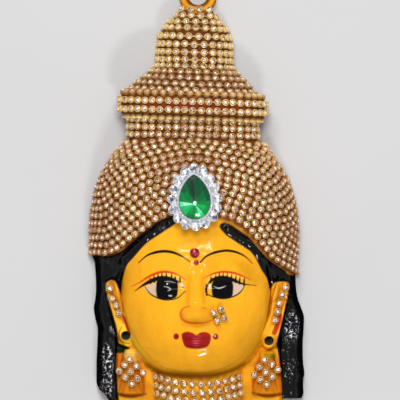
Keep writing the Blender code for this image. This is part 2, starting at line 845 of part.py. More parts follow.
def prism(profile, sides, centre, normal, turn=0.0):
    """Points and faces of rings stacked along a direction: radius and height of each ring."""
    first, second = axes_for(normal, turn)
    angles = np.linspace(0, 2 * math.pi, sides, endpoint=False)[:, None]
    circle = np.cos(angles) * first + np.sin(angles) * second
    rings = [centre + normal * z + r * circle for r, z in profile]
    return np.concatenate(rings), ring_faces(len(profile), sides)


def bar(start, end, normal):
    """A flat link between two cups."""
    start, end = start + LINK_INSET * (end - start), end - LINK_INSET * (end - start)
    along = end - start
    across = np.cross(normal, along)
    across *= LINK_WIDTH / 2 / np.linalg.norm(across)
    lower, upper = 0.25 * CUP_HEIGHT * normal, (0.25 * CUP_HEIGHT + LINK_HEIGHT) * normal
    outline = (start - across, start + across, end + across, end - across)
    corners = [corner + rise for rise in (lower, upper) for corner in outline]
    faces = [(0, 1, 2, 3), (7, 6, 5, 4), (0, 4, 5, 1), (1, 5, 6, 2), (2, 6, 7, 3), (3, 7, 4, 0)]
    return np.array(corners), faces


def gathered(name, shapes, material=None):
    """Separate closed shapes in one object."""
    points, faces, start = [], [], 0
    for shape_points, shape_faces in shapes:
        points.append(shape_points)
        faces += [tuple(start + k for k in face) for face in shape_faces]
        start += len(shape_points)
    return new_object(name, np.concatenate(points), faces, material)


def linked_cups(name, seats, pairs, turn, material):
    """Cups at their seats, made one piece by flat links between pairs of them."""
    radius = CUP_DIAMETER / 2
    profile = ((radius, 0.0), (0.86 * radius, CUP_HEIGHT))
    cups = [prism(profile, CUP_SIDES, centre, normal, turn) for centre, normal in seats]
    made = gathered(name, cups, material)
    links = [bar(seats[a][0], seats[b][0], 0.5 * (seats[a][1] + seats[b][1])) for a, b in pairs]
    boolean(made, as_cutter(gathered(name + "_links", links)), "UNION")
    return made


def make_ear_chain(name, first, last, count, material):
    """A length of chain straight down the ear."""
    across, up = last[0] - first[0], last[1] - first[1]
    shares = np.linspace(0, 1, count)
    seats = [seat(first[0] + s * across, first[1] + s * up, 0.5 * CUP_DIAMETER) for s in shares]
    turn = math.atan2(up, across)
    linked_cups(name, seats, [(n, n + 1) for n in range(count - 1)], turn, material)


def make_patch(name, x, h, turn, lengths, cups, material):
    """Short lengths of chain side by side, laid flat over the cast."""
    turn = math.radians(turn)
    reach = 0.5 * max(lengths - 1, cups - 1) * CHAIN_PITCH
    _, normal = seat(x, h, reach)
    normal = normal if name == "nose_stones" else np.array([0.0, 0.0, 1.0])
    first, second = axes_for(normal, turn)
    along = (np.arange(cups) - (cups - 1) / 2) * CHAIN_PITCH
    aside = (np.arange(lengths) - (lengths - 1) / 2) * PATCH_PITCH
    middle = cast_point(x, h)
    spots = [middle + a * first + b * second for b in aside for a in along]
    rise = max(float((seat(*place_of(spot), 0.5 * CUP_DIAMETER)[0] - spot) @ normal) for spot in spots)
    seats = [(spot + normal * (rise + 0.5 * SEAT_GAP), normal) for spot in spots]
    pairs = [(row * cups + n, row * cups + n + 1) for row in range(lengths) for n in range(cups - 1)]
    pairs += [(row * cups + cups // 2, (row + 1) * cups + cups // 2) for row in range(lengths - 1)]
    linked_cups(name, seats, pairs, turn, material)


def place_of(point):
    """x and h of a point in metres."""
    return point[0] / HUNDREDTH, point[1] / HUNDREDTH + 50.0


def make_bindi(name, at, diameter, material):
    radius = diameter / 2
    centre, normal = seat(at[0], at[1], radius)
    rise = BINDI_RISE * diameter
    profile = ((radius, 0.0), (0.95 * radius, 0.4 * rise), (0.45 * radius, rise))
    points, faces = prism(profile, 9, centre, normal)
    new_object(name, points, faces, material)


# Brooch


def pear_line(beyond, count):
    """Points evenly spaced along a pear outline moved outwards, from its tip round."""
    t = np.linspace(0, 2 * math.pi, 721)
    shape = np.sin(t) * np.abs(np.sin(t / 2)) ** PEAR_TIP
    middle = np.array([0.0, -PEAR_LOW * PEAR_LENGTH])
    line = 0.5 * np.stack([PEAR_WIDTH * shape / shape.max(), PEAR_LENGTH * np.cos(t)], -1)
    fine = np.linspace(0, 2 * math.pi, 361)
    rays = np.stack([np.sin(fine), np.cos(fine)], -1)
    out = []
    for ray in rays:
        side = np.array([ray[1], -ray[0]])
        along, across = (line - middle) @ ray, np.abs((line - middle) @ side)
        reach = along + np.sqrt(np.clip(beyond**2 - across**2, 0, None))
        out.append(middle + ray * reach[across <= max(beyond, 0.0003)].max())
    out = np.array(out)
    run = np.concatenate([[0], np.cumsum(np.linalg.norm(np.diff(out, axis=0), axis=1))])
    at = np.linspace(0, run[-1], count, endpoint=False)
    return np.stack([np.interp(at, run, out[:, k]) for k in (0, 1)], -1)


def pear_shape(profile, count, centre, lean):
    """Rings of pear outline stacked up: how far beyond the stone, and the height."""
    turn = math.radians(lean)
    rings = []
    for beyond, z in profile:
        line = pear_line(max(beyond, 0.0), count)
        if beyond < 0:
            middle = np.array([0.0, -PEAR_LOW * PEAR_LENGTH])
            line = middle + (line - middle) * (1 + beyond / (0.5 * PEAR_WIDTH))
        x = line[:, 0] * math.cos(turn) - line[:, 1] * math.sin(turn)
        y = line[:, 0] * math.sin(turn) + line[:, 1] * math.cos(turn)
        rings.append(centre + np.stack([x, y, np.full(count, z)], -1))
    return np.concatenate(rings), ring_faces(len(profile), count)


def brooch_centre():
    """Where the brooch's back rests, on top of the chain rows."""
    reach = np.linspace(-1, 1, 9)
    across = BROOCH[0] + reach[:, None] * 6.5
    up = BROOCH[1] + reach[None, :] * 7.2
    highest = crown_height(across, up).max() * HUNDREDTH
    point = to_metres(BROOCH[0], BROOCH[1], 0.0)
    return point + (0, 0, highest + 2 * SEAT_GAP + CUP_HEIGHT + 0.0002)


def make_brooch(silver, green):
    centre = brooch_centre()
    back = 0.62 * HALO_STONE + BEZEL_WIDTH
    inner = 0.00025
    profile = (
        (back, 0.0),
        (back, PLATE_THICKNESS),
        (BEZEL_WIDTH, PLATE_THICKNESS),
        (0.7 * BEZEL_WIDTH, BEZEL_HEIGHT),
        (inner, BEZEL_HEIGHT),
        (inner, PLATE_THICKNESS),
    )
    setting = gathered("brooch_setting", [pear_shape(profile, 22, centre, BROOCH_TILT)], silver)
    turn = math.radians(BROOCH_TILT)
    radius = HALO_STONE / 2
    cup = ((radius, 0.3 * PLATE_THICKNESS), (0.84 * radius, HALO_HEIGHT))
    cups = []
    for x, y in pear_line(BEZEL_WIDTH + 0.5 * HALO_STONE, HALO_COUNT):
        across, up = x * math.cos(turn) - y * math.sin(turn), x * math.sin(turn) + y * math.cos(turn)
        at = centre + (across, up, 0.0)
        cups.append(prism(cup, CUP_SIDES, at, np.array([0.0, 0.0, 1.0]), math.atan2(y, x)))
    boolean(setting, as_cutter(gathered("brooch_cups", cups)), "UNION")
    low = PLATE_THICKNESS + 0.0002
    stone = ((0.0, low), (0.0, low + 0.0008), (-0.0022, low + 0.8 * PEAR_RISE), (-0.0048, low + PEAR_RISE))
    points, faces = pear_shape(stone, 14, centre, BROOCH_TILT)
    new_object("brooch_stone", points, faces, green)


def main():
    for old in list(bpy.data.objects):
        bpy.data.objects.remove(old)
    gold = new_material("gilt_chain", GOLD, 0.3, 1.0)
    red = new_material("red_bindi", RED, 0.15)
    make_body(new_material("yellow_enamel", YELLOW, 0.25))
    make_rows(gold)
    for name, (first, last, count) in EAR_CHAINS.items():
        make_ear_chain(name, first, last, count, gold)
    for name, (x, h, turn, lengths, cups) in PATCHES.items():
        make_patch(name, x, h, turn, lengths, cups, gold)
    make_bindi("bindi_large", LARGE_BINDI_AT, LARGE_BINDI, red)
    make_bindi("bindi_small", SMALL_BINDI_AT, SMALL_BINDI, red)
    make_brooch(new_material("silver_setting", SILVER, 0.2, 1.0), new_material("green_glass", GREEN, 0.05))


main()
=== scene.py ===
"""A goddess face mask, dressed: painted cast, cup chains, brooch, bindi stones, floor, light and camera.

The mask lies on its back, face up: +Z out of the face, +Y towards the hanging loop. Free form and
painted lines are given in hundredths of the mask's height: x across from the middle line, h up from the
neck's lower edge, z from the back rim. All else is in metres.
"""

import logging
import math
from collections.abc import Callable, Iterator, Sequence
from dataclasses import dataclass, field
from enum import Enum

import bpy
import numpy as np
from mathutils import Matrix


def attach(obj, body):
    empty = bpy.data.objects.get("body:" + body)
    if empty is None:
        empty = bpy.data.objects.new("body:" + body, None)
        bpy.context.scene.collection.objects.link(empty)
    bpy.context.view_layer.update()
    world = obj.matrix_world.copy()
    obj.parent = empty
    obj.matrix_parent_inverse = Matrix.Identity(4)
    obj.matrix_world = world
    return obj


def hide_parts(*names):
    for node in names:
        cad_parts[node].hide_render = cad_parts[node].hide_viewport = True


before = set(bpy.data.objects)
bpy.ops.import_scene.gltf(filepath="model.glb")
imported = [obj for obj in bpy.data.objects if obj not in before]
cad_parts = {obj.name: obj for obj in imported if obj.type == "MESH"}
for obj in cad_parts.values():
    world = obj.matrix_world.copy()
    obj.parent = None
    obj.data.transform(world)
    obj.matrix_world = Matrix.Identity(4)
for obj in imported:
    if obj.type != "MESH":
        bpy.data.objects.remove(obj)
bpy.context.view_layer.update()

HUNDREDTH = 0.001836
UP = np.array([0.0, 0.0, 1.0])
SEED = 11

Array = np.ndarray
Colour = tuple[float, float, float]
Path = tuple[tuple[float, float], ...]
Shape = tuple[Array, list[Array], Array]
Surface = Callable[[Array, Array], Array]

log = logging.getLogger("goddess_mask")


class Slot(Enum):
    """The record's material slots."""

    CAST = "painted_cast"
    GILT = "gilt_chain"
    SILVER = "silver_setting"
    GREEN = "green_stone"
    BINDI = "red_bindi"


def linear(red: float, green: float, blue: float) -> Colour:
    """A colour given as 0 to 255 on a screen, in scene-linear values."""
    share = (np.array([red, green, blue]) / 255.0 + 0.055) / 1.055
    return tuple(float(v) for v in share**2.4)


def ramp(*stops: tuple[float, float, float, float]) -> tuple[tuple[float, Colour], ...]:
    """The stops of a colour ramp, each given as its place and its colour on a screen."""
    return tuple((place, linear(*colour)) for place, *colour in stops)


def blend(colours: Array, other: Array | Colour, share: Array) -> Array:
    """Colours moved towards another by a share of the way at each place."""
    return colours + (np.asarray(other) - colours) * share[:, None]


# Curves and fields


def smooth_through(knots: Sequence[float], values: Sequence[float], at: Array) -> Array:
    """Monotone cubic through knots: Hermite spans whose inner slopes are weighted harmonic means.

    Args:
        knots: rising places.
        values: one value at each knot.
        at: places to read.

    Returns:
        The curve's values.
    """
    knots, values = np.asarray(knots, float), np.asarray(values, float)
    at = np.clip(at, knots[0], knots[-1])
    step = np.diff(knots)
    slope = np.diff(values) / step
    weight_a, weight_b = 2 * step[1:] + step[:-1], step[1:] + 2 * step[:-1]
    tangent = np.zeros_like(values)
    with np.errstate(divide="ignore", invalid="ignore"):
        mean = (weight_a + weight_b) / (weight_a / slope[:-1] + weight_b / slope[1:])
    tangent[1:-1] = np.where(slope[1:] * slope[:-1] > 0, mean, 0)
    tangent[0], tangent[-1] = slope[0], slope[-1]
    span = np.clip(np.searchsorted(knots, at, side="right") - 1, 0, len(step) - 1)
    s = (at - knots[span]) / step[span]
    return (
        (1 + 2 * s) * (1 - s) ** 2 * values[span]
        + s * (1 - s) ** 2 * step[span] * tangent[span]
        + s * s * (3 - 2 * s) * values[span + 1]
        + s * s * (s - 1) * step[span] * tangent[span + 1]
    )


def column(table: Sequence[Sequence[float]], which: int, at: Array) -> Array:
    """One column of a table read at places of its first column."""
    return smooth_through([row[0] for row in table], [row[which] for row in table], at)


def ease(low: float, high: float, value: Array) -> Array:
    """Smooth step: 0 at low, 1 at high, three times its square less twice its cube between."""
    s = np.clip((value - low) / (high - low), 0, 1)
    return s * s * (3 - 2 * s)


def soft_max(a: Array, b: Array, reach: float) -> Array:
    """The larger of two heights, the corner between them rounded by a parabola."""
    share = np.clip(0.5 + 0.5 * (a - b) / reach, 0, 1)
    return b + (a - b) * share + reach * share * (1 - share)


def hump(x: Array, h: Array, middle: Sequence[float], reach_x: float, reach_h: float) -> Array:
    """A Gaussian bump: 1 at its middle, fading by the square of the distance over its reach."""
    return np.exp(-(((x - middle[0]) / reach_x) ** 2) - ((h - middle[1]) / reach_h) ** 2)


def rounded(path: Path, closed: bool = False, spans: int = 6) -> Array:
    """A Catmull-Rom curve through the points of a path.

    Args:
        path: the points.
        closed: whether the last point joins the first.
        spans: points made for each of the path's spans.

    Returns:
        The curve's points, one row each.
    """
    points = np.asarray(path, float)
    if closed:
        points = np.concatenate([points[-1:], points, points[:2]])
    else:
        points = np.concatenate([2 * points[:1] - points[1:2], points, 2 * points[-1:] - points[-2:-1]])
    s = np.linspace(0, 1, spans, endpoint=False)[None, :, None]
    a, b, c, d = points[:-3, None], points[1:-2, None], points[2:-1, None], points[3:, None]
    square, cube = 2 * a - 5 * b + 4 * c - d, 3 * b - a - 3 * c + d
    curve = (0.5 * (2 * b + (c - a) * s + square * s**2 + cube * s**3)).reshape(-1, 2)
    return curve if closed else np.concatenate([curve, points[-2:-1]])


def along_path(x: Array, h: Array, path: Sequence[Sequence[float]]) -> tuple[Array, Array]:
    """Distance to the nearest span of an open path.

    Args:
        x: places across.
        h: places up.
        path: the path's points.

    Returns:
        The distance, and the place along the path counted in spans.
    """
    best = np.full(np.shape(x), 1e9)
    along = np.zeros(np.shape(x))
    for n, (a, b) in enumerate(zip(path, path[1:])):
        across, up = b[0] - a[0], b[1] - a[1]
        share = np.clip(((x - a[0]) * across + (h - a[1]) * up) / (across**2 + up**2), 0, 1)
        gap = np.hypot(x - a[0] - share * across, h - a[1] - share * up)
        along = np.where(gap < best, n + share, along)
        best = np.minimum(best, gap)
    return best, along


def inside_of(x: Array, h: Array, ring: Array) -> Array:
    """Signed distance to a closed ring of points, above 0 inside it, by counting crossings.

    Args:
        x: places across.
        h: places up.
        ring: the ring's points.

    Returns:
        The distance.
    """
    crossed = np.zeros(np.shape(x), bool)
    for a, b in zip(ring, np.roll(ring, -1, axis=0)):
        if a[1] != b[1]:
            level = (h > a[1]) != (h > b[1])
            crossed ^= level & (x < a[0] + (h - a[1]) * (b[0] - a[0]) / (b[1] - a[1]))
    away, _ = along_path(x, h, [*ring, ring[0]])
    return np.where(crossed, away, -away)


def ripple(x: Array, h: Array, scale: float, seed: int, count: int = 7) -> Array:
    """Irregular waves from -1 to 1: a sum of sines with random directions, lengths and phases.

    Args:
        x: places across.
        h: places up.
        scale: mean wave length.
        seed: seed of the random draw.
        count: number of sines.

    Returns:
        The waves' height.
    """
    draw = np.random.default_rng(seed)
    total = np.zeros(np.broadcast(x, h).shape)
    for _ in range(count):
        turn, phase = draw.uniform(0, 2 * math.pi, 2)
        wave = 2 * math.pi / (scale * draw.uniform(0.6, 1.5))
        total = total + np.sin(wave * (x * math.cos(turn) + h * math.sin(turn)) + phase)
    return np.clip(total / math.sqrt(2 * count), -1, 1)


def unit(vectors: Array) -> Array:
    """Vectors divided by their lengths."""
    return vectors / np.linalg.norm(vectors, axis=-1, keepdims=True)


def run_of(points: Array) -> Array:
    """Length along a line of points up to each one."""
    return np.concatenate([[0], np.cumsum(np.linalg.norm(np.diff(points, axis=0), axis=1))])


def standing(first: Array, up: Array) -> Array:
    """Three directions at right angles for each place: two across its up, and up itself."""
    return np.stack([first, np.cross(up, first), up], 1)


def to_metres(x: Array, h: Array, z: Array) -> Array:
    """Places in hundredths, as points in metres whose origin is under the middle of the mask."""
    return np.stack(np.broadcast_arrays(x, h - 50.0, z), -1) * HUNDREDTH


# Meshes


def ring_faces(rings: int, sides: int) -> Array:
    """Four-cornered faces between each ring of points and the next one up, all round.

    Args:
        rings: number of rings.
        sides: points in each.

    Returns:
        The corners of each face.
    """
    ring, n = np.meshgrid(np.arange(rings - 1), np.arange(sides), indexing="ij")
    after = (n + 1) % sides
    quads = [ring * sides + n, ring * sides + after, (ring + 1) * sides + after, (ring + 1) * sides + n]
    return np.stack(quads, -1).reshape(-1, 4)


def cap(first: int, sides: int, upwards: bool) -> Array:
    """One flat face over a ring of points."""
    ring = np.arange(first, first + sides)[None, :]
    return ring if upwards else ring[:, ::-1]


def closed_rings(rings: int, sides: int) -> list[Array]:
    """The faces of a closed form: round its stacked rings, then over the first and the last."""
    last = sides * (rings - 1)
    return [ring_faces(rings, sides), np.concatenate([cap(0, sides, False), cap(last, sides, True)])]


def turns(count: int) -> Array:
    """Even steps of a whole turn, in radians."""
    return np.linspace(0, 2 * math.pi, count, endpoint=False)


def circle(radius: float, level: float | Array, sides: int, turn: float = 0.0) -> Array:
    """Points at even steps round the upright axis."""
    angles = turns(sides) + turn
    return np.stack([radius * np.cos(angles), radius * np.sin(angles), 0 * angles + level], -1)


def new_mesh(
    name: str,
    points: Array,
    faces: Sequence[Array],
    materials: Sequence[bpy.types.Material],
    material_of: Array | None = None,
    smooth: bool | Array = True,
) -> bpy.types.Object:
    """A mesh piece from whole arrays.

    Args:
        name: the piece's name.
        points: one row for each vertex, in metres.
        faces: arrays of faces, each array for one count of corners.
        materials: the piece's materials.
        material_of: the material's number for each face, in the order of the faces.
        smooth: whether faces are shaded smooth, for all or for each.

    Returns:
        The new object, at the origin.
    """
    mesh = bpy.data.meshes.new(name)
    corners = np.concatenate([f.ravel() for f in faces]).astype(np.int32)
    sizes = np.concatenate([np.full(len(f), f.shape[1]) for f in faces])
    mesh.vertices.add(len(points))
    mesh.vertices.foreach_set("co", points.astype(np.float32).ravel())
    mesh.loops.add(len(corners))
    mesh.loops.foreach_set("vertex_index", corners)
    mesh.polygons.add(len(sizes))
    mesh.polygons.foreach_set("loop_start", (np.cumsum(sizes) - sizes).astype(np.int32))
    mesh.polygons.foreach_set("use_smooth", np.broadcast_to(smooth, len(sizes)).astype(bool))
    for material in materials:
        mesh.materials.append(material)
    if material_of is not None:
        mesh.polygons.foreach_set("material_index", material_of.astype(np.int32))
    mesh.update(calc_edges=True)
    mesh.validate()
    made = bpy.data.objects.new(name, mesh)
    bpy.context.scene.collection.objects.link(made)
    return made


def set_colour(made: bpy.types.Object, name: str, colours: Array) -> None:
    """Stores a colour on each vertex.

    Args:
        made: the piece.
        name: the attribute's name.
        colours: one colour for each vertex.
    """
    layer = made.data.attributes.new(name, "FLOAT_COLOR", "POINT")
    rgba = np.concatenate([colours, np.ones((len(colours), 1))], 1)
    layer.data.foreach_set("color", rgba.astype(np.float32).ravel())


def set_values(made: bpy.types.Object, name: str, domain: str, values: Array) -> None:
    """Stores a number on each vertex or face."""
    layer = made.data.attributes.new(name, "FLOAT", domain)
    layer.data.foreach_set("value", values.astype(np.float32).ravel())


def settle(made: bpy.types.Object, node: str, slot: Slot) -> None:
    """Puts a finished piece on the one body and hides the CAD node that it stands for.

    Args:
        made: the piece.
        node: the CAD node.
        slot: the record's slot; not used.
    """
    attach(made, "root")
    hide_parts(node)
    log.info("%s: %d faces", made.name, len(made.data.polygons))


# Shader maths


class Tree:
    """The nodes of one material."""

    def __init__(self, name: str) -> None:
        """A new material with only its Principled shader."""
        self.material = bpy.data.materials.new(name)
        self.material.use_nodes = True
        self.nodes = self.material.node_tree.nodes
        self.shader = self.nodes["Principled BSDF"]

    def set_stops(self, scale: bpy.types.ColorRamp, stops: Sequence[tuple]) -> None:
        """Gives a ramp its stops: place and colour of each."""
        while len(scale.elements) < len(stops):
            scale.elements.new(1.0)
        for element, (place, colour) in zip(scale.elements, stops):
            element.position = place
            element.color = (*colour, 1.0)

    def feed(self, socket: bpy.types.NodeSocket, value: object) -> None:
        """Links a socket to a wrapped one, or sets its own value."""
        if isinstance(value, Value):
            self.material.node_tree.links.new(value.socket, socket)
        elif isinstance(value, tuple) and socket.type == "RGBA":
            socket.default_value = (*value[:3], 1.0)
        else:
            socket.default_value = value

    def read(
        self, kind: str, output: str | int = 0, settings: dict | None = None, inputs: dict | None = None
    ) -> "Value":
        """Adds a node and wraps one of its outputs.

        Args:
            kind: the node's type.
            output: the output, by name or number.
            settings: the node's settings, or the stops of a ramp, which are set first.
            inputs: values or links for its sockets, by name or number.

        Returns:
            The wrapped output.
        """
        made = self.nodes.new(kind)
        for key, value in (settings or {}).items():
            if key == "stops":
                self.set_stops(made.color_ramp, value)
            else:
                setattr(made, key, value)
        for key, value in (inputs or {}).items():
            self.feed(made.inputs[key], value)
        return Value(self, made.outputs[output])

    def attribute(self, name: str, output: str = "Fac") -> "Value":
        """An attribute of the mesh."""
        return self.read("ShaderNodeAttribute", output, {"attribute_name": name})

    def place(self) -> "Value":
        """The place on the piece, in metres."""
        return self.read("ShaderNodeTexCoord", "Object")

    def noise(self, scale: float, detail: float, rough: float, stretch: tuple | None = None) -> "Value":
        """Noise on the piece's own coordinates.

        Args:
            scale: waves to the metre.
            detail: finer layers added.
            rough: how strong the finer layers are.
            stretch: scale of each axis.

        Returns:
            The noise, about 0 to 1.
        """
        at = self.place()
        if stretch:
            at = self.read("ShaderNodeMapping", 0, None, {"Vector": at, "Scale": stretch})
        inputs = {"Vector": at, "Scale": scale, "Detail": detail, "Roughness": rough}
        return self.read("ShaderNodeTexNoise", 0, None, inputs)

    def mix(self, share: object, first: object, second: object, how: str = "MIX") -> "Value":
        """Mixes two colours by a share."""
        settings = {"data_type": "RGBA", "blend_type": how, "clamp_factor": True}
        return self.read("ShaderNodeMix", 2, settings, {0: share, 6: first, 7: second})

    def bump(
        self, height: "Value", distance: float, strength: object = 1.0, under: "Value | None" = None
    ) -> "Value":
        """A surface direction tilted by a height.

        Args:
            height: the height, 0 to 1.
            distance: metres that a height of 1 stands for.
            strength: share of the effect.
            under: another such direction to start from.

        Returns:
            The direction.
        """
        inputs = {"Height": height, "Distance": distance, "Strength": strength}
        if under is not None:
            inputs["Normal"] = under
        return self.read("ShaderNodeBump", 0, None, inputs)

    def dress(self, **sockets: object) -> bpy.types.Material:
        """Feeds the shader: socket names with _ for spaces."""
        for name, value in sockets.items():
            self.feed(self.shader.inputs[name.replace("_", " ")], value)
        return self.material


@dataclass(frozen=True)
class Value:
    """A socket that takes part in Python expressions."""

    tree: Tree
    socket: bpy.types.NodeSocket

    def math(self, operation: str, *others: object) -> "Value":
        """A Math node on this socket and others."""
        inputs = dict(enumerate((self, *others)))
        return self.tree.read("ShaderNodeMath", 0, {"operation": operation}, inputs)

    def __add__(self, other: object) -> "Value":
        """Sum."""
        return self.math("ADD", other)

    def __mul__(self, other: object) -> "Value":
        """Product."""
        return self.math("MULTIPLY", other)

    def __sub__(self, other: object) -> "Value":
        """Difference."""
        return self.math("SUBTRACT", other)

    def __rsub__(self, other: float) -> "Value":
        """Difference from a number."""
        return self.tree.read("ShaderNodeMath", 0, {"operation": "SUBTRACT"}, {0: other, 1: self})

    __radd__ = __add__
    __rmul__ = __mul__

    def between(self, low: float, high: float) -> "Value":
        """0 at low and below, 1 at high and above, eased between."""
        inputs = {0: self, 1: low, 2: high}
        return self.tree.read("ShaderNodeMapRange", 0, {"interpolation_type": "SMOOTHSTEP"}, inputs)


# Finishes


@dataclass(frozen=True)
class Enamel:
    """Brushed gloss paint on the cast, with black hair, bare crown base and a dull inside."""

    gloss: float = 0.24
    coat: float = 0.85
    peel: float = 0.00028

    def material(self) -> bpy.types.Material:
        """The paint: vertex colours, brush streaks, dirt, orange peel and crinkled hair with painted
        glints.

        Returns:
            The material.
        """
        tree = Tree("painted_enamel")
        paint = tree.attribute("paint", "Color")
        hair, bare, crinkle, steep = (tree.attribute(name) for name in ("hair", "bare", "crinkle", "steep"))
        streaks = tree.noise(160.0, 3.0, 0.6, (1.0, 0.35, 1.0))
        blotch = tree.noise(42.0, 2.0, 0.5)
        red = tree.read("ShaderNodeSeparateColor", "Red", None, {"Color": paint})
        warm = tree.mix(blotch.between(0.42, 0.75) * red * 0.26, paint, linear(222, 140, 10))
        streaked = tree.mix(streaks.between(0.35, 0.75) * 0.12, warm, linear(120, 70, 20), "MULTIPLY")
        dull = tree.mix(bare * streaks.between(0.3, 0.7) * 0.5, streaked, linear(96, 58, 30))
        curls = tree.noise(900.0, 2.0, 0.6)
        # Painted glints: white metallic flecks on the crests of the curls in the crinkled hair.
        glint_crests = curls.between(0.55, 0.63) * crinkle.between(0.45, 0.8) * streaks.between(0.35, 0.55)
        with_glint_flecks = tree.mix(glint_crests, dull, linear(250, 250, 255))
        rough = self.gloss + bare * 0.3 + (streaks - 0.5) * 0.12 + hair * 0.05
        skin = tree.bump(tree.noise(420.0, 2.0, 0.5), self.peel)
        brush = tree.bump(streaks, 0.0004, 0.4, skin)
        lumps = tree.bump(curls, 0.0009, crinkle, brush)
        return tree.dress(
            Base_Color=with_glint_flecks,
            Metallic=glint_crests,
            Roughness=rough,
            Normal=lumps,
            Coat_Weight=self.coat * (1.0 - bare) * (1.0 - steep) * (0.4 + hair * 0.6),
            Coat_Roughness=0.07,
            Specular_IOR_Level=0.0,
        )


@dataclass(frozen=True)
class Gilt:
    """Pale gold plating on the cups, brown at their feet with lacquer, dust and painted shade."""

    bright: Colour = linear(255, 226, 144)
    warm: Colour = linear(252, 178, 110)
    side_shade_and_skirt_brown: Colour = linear(186, 122, 68)
    patina_and_foot_shade: Colour = linear(128, 62, 24)

    def material(self) -> bpy.types.Material:
        """The metal: bright at the lip, warmer in blotches, brown near the cast and on the far sides,
        partly painted shade.

        Returns:
            The material.
        """
        tree = Tree("gilt_cup_metal")
        depth = tree.attribute("depth")
        blotch = tree.noise(520.0, 2.0, 0.6)
        across, up = (tree.read("ShaderNodeSeparateXYZ", axis, None, {0: tree.place()}) for axis in "XY")
        # Painted shade: cups on the crown's far sides, turned away from the light, are browner; the skirt
        # tier is browner too.
        side = across.math("ABSOLUTE").between(0.025, 0.043) * up.between(-0.040, -0.034)
        high = up.between(0.024, 0.034)
        skirt = up.between(0.039, 0.042) * up.between(0.054, 0.050)
        warm = blotch.between(0.4, 0.68) * (1.0 - high * 0.65)
        metal = tree.mix(warm, self.bright, self.warm)
        side_shade_and_skirt_brown = tree.mix(side * 0.75 + skirt * 0.6, metal, self.side_shade_and_skirt_brown)
        # Brown towards each cup's foot, well and links: partly patina, partly painted shade.
        colour = tree.mix(depth.between(0.82, 0.15) * (1.0 - high * 0.22), side_shade_and_skirt_brown, self.patina_and_foot_shade)
        rough = 0.22 + blotch * 0.12 + depth.between(0.7, 0.1) * 0.3
        normal = tree.bump(tree.noise(1400.0, 2.0, 0.6), 0.00012, 0.5)
        return tree.dress(
            Base_Color=colour,
            Metallic=0.42 - high * 0.16 - depth.between(0.4, 0.05) * 0.2,
            Roughness=rough,
            Normal=normal,
        )


@dataclass(frozen=True)
class Crystal:
    """Foil-backed clear stones, each facet with its own tone."""

    name: str
    stops: tuple[tuple[float, Colour], ...]
    painted_glow: float = 0.12

    def material(self) -> bpy.types.Material:
        """The stone: a colour from each facet's tone, polished, with a faint painted glow of its own.

        Returns:
            The material.
        """
        tree = Tree(self.name)
        tone = tree.attribute("tone")
        colour = tree.read("ShaderNodeValToRGB", 0, {"stops": self.stops}, {0: tone})
        flecks = tree.noise(2600.0, 1.0, 0.5).between(0.45, 0.7)
        lively = tree.mix(flecks * 0.35, colour, (1.0, 1.0, 1.0), "SOFT_LIGHT")
        return tree.dress(
            Base_Color=lively,
            # Painted glow: the stones give off a little light of their own.
            Emission_Color=lively,
            Emission_Strength=self.painted_glow,
            Metallic=0.35,
            Roughness=0.1 + (1.0 - tone) * 0.12,
            Coat_Weight=0.6,
        )


@dataclass(frozen=True)
class Silver:
    """Bright plated setting with dark corners."""

    bright: Colour = linear(240, 242, 246)
    dark: Colour = linear(84, 84, 98)

    def material(self) -> bpy.types.Material:
        """The metal: bright on top, darker low down and in fine scratches.

        Returns:
            The material.
        """
        tree = Tree("silver_plate")
        depth = tree.attribute("depth")
        blotch = tree.noise(900.0, 3.0, 0.6)
        metal = tree.mix(blotch.between(0.45, 0.7) * 0.7, self.bright, linear(176, 176, 190))
        colour = tree.mix(depth.between(0.5, 0.0), metal, self.dark)
        normal = tree.bump(blotch, 0.00015, 0.4)
        return tree.dress(Base_Color=colour, Metallic=0.6, Roughness=0.2 + blotch * 0.2, Normal=normal)


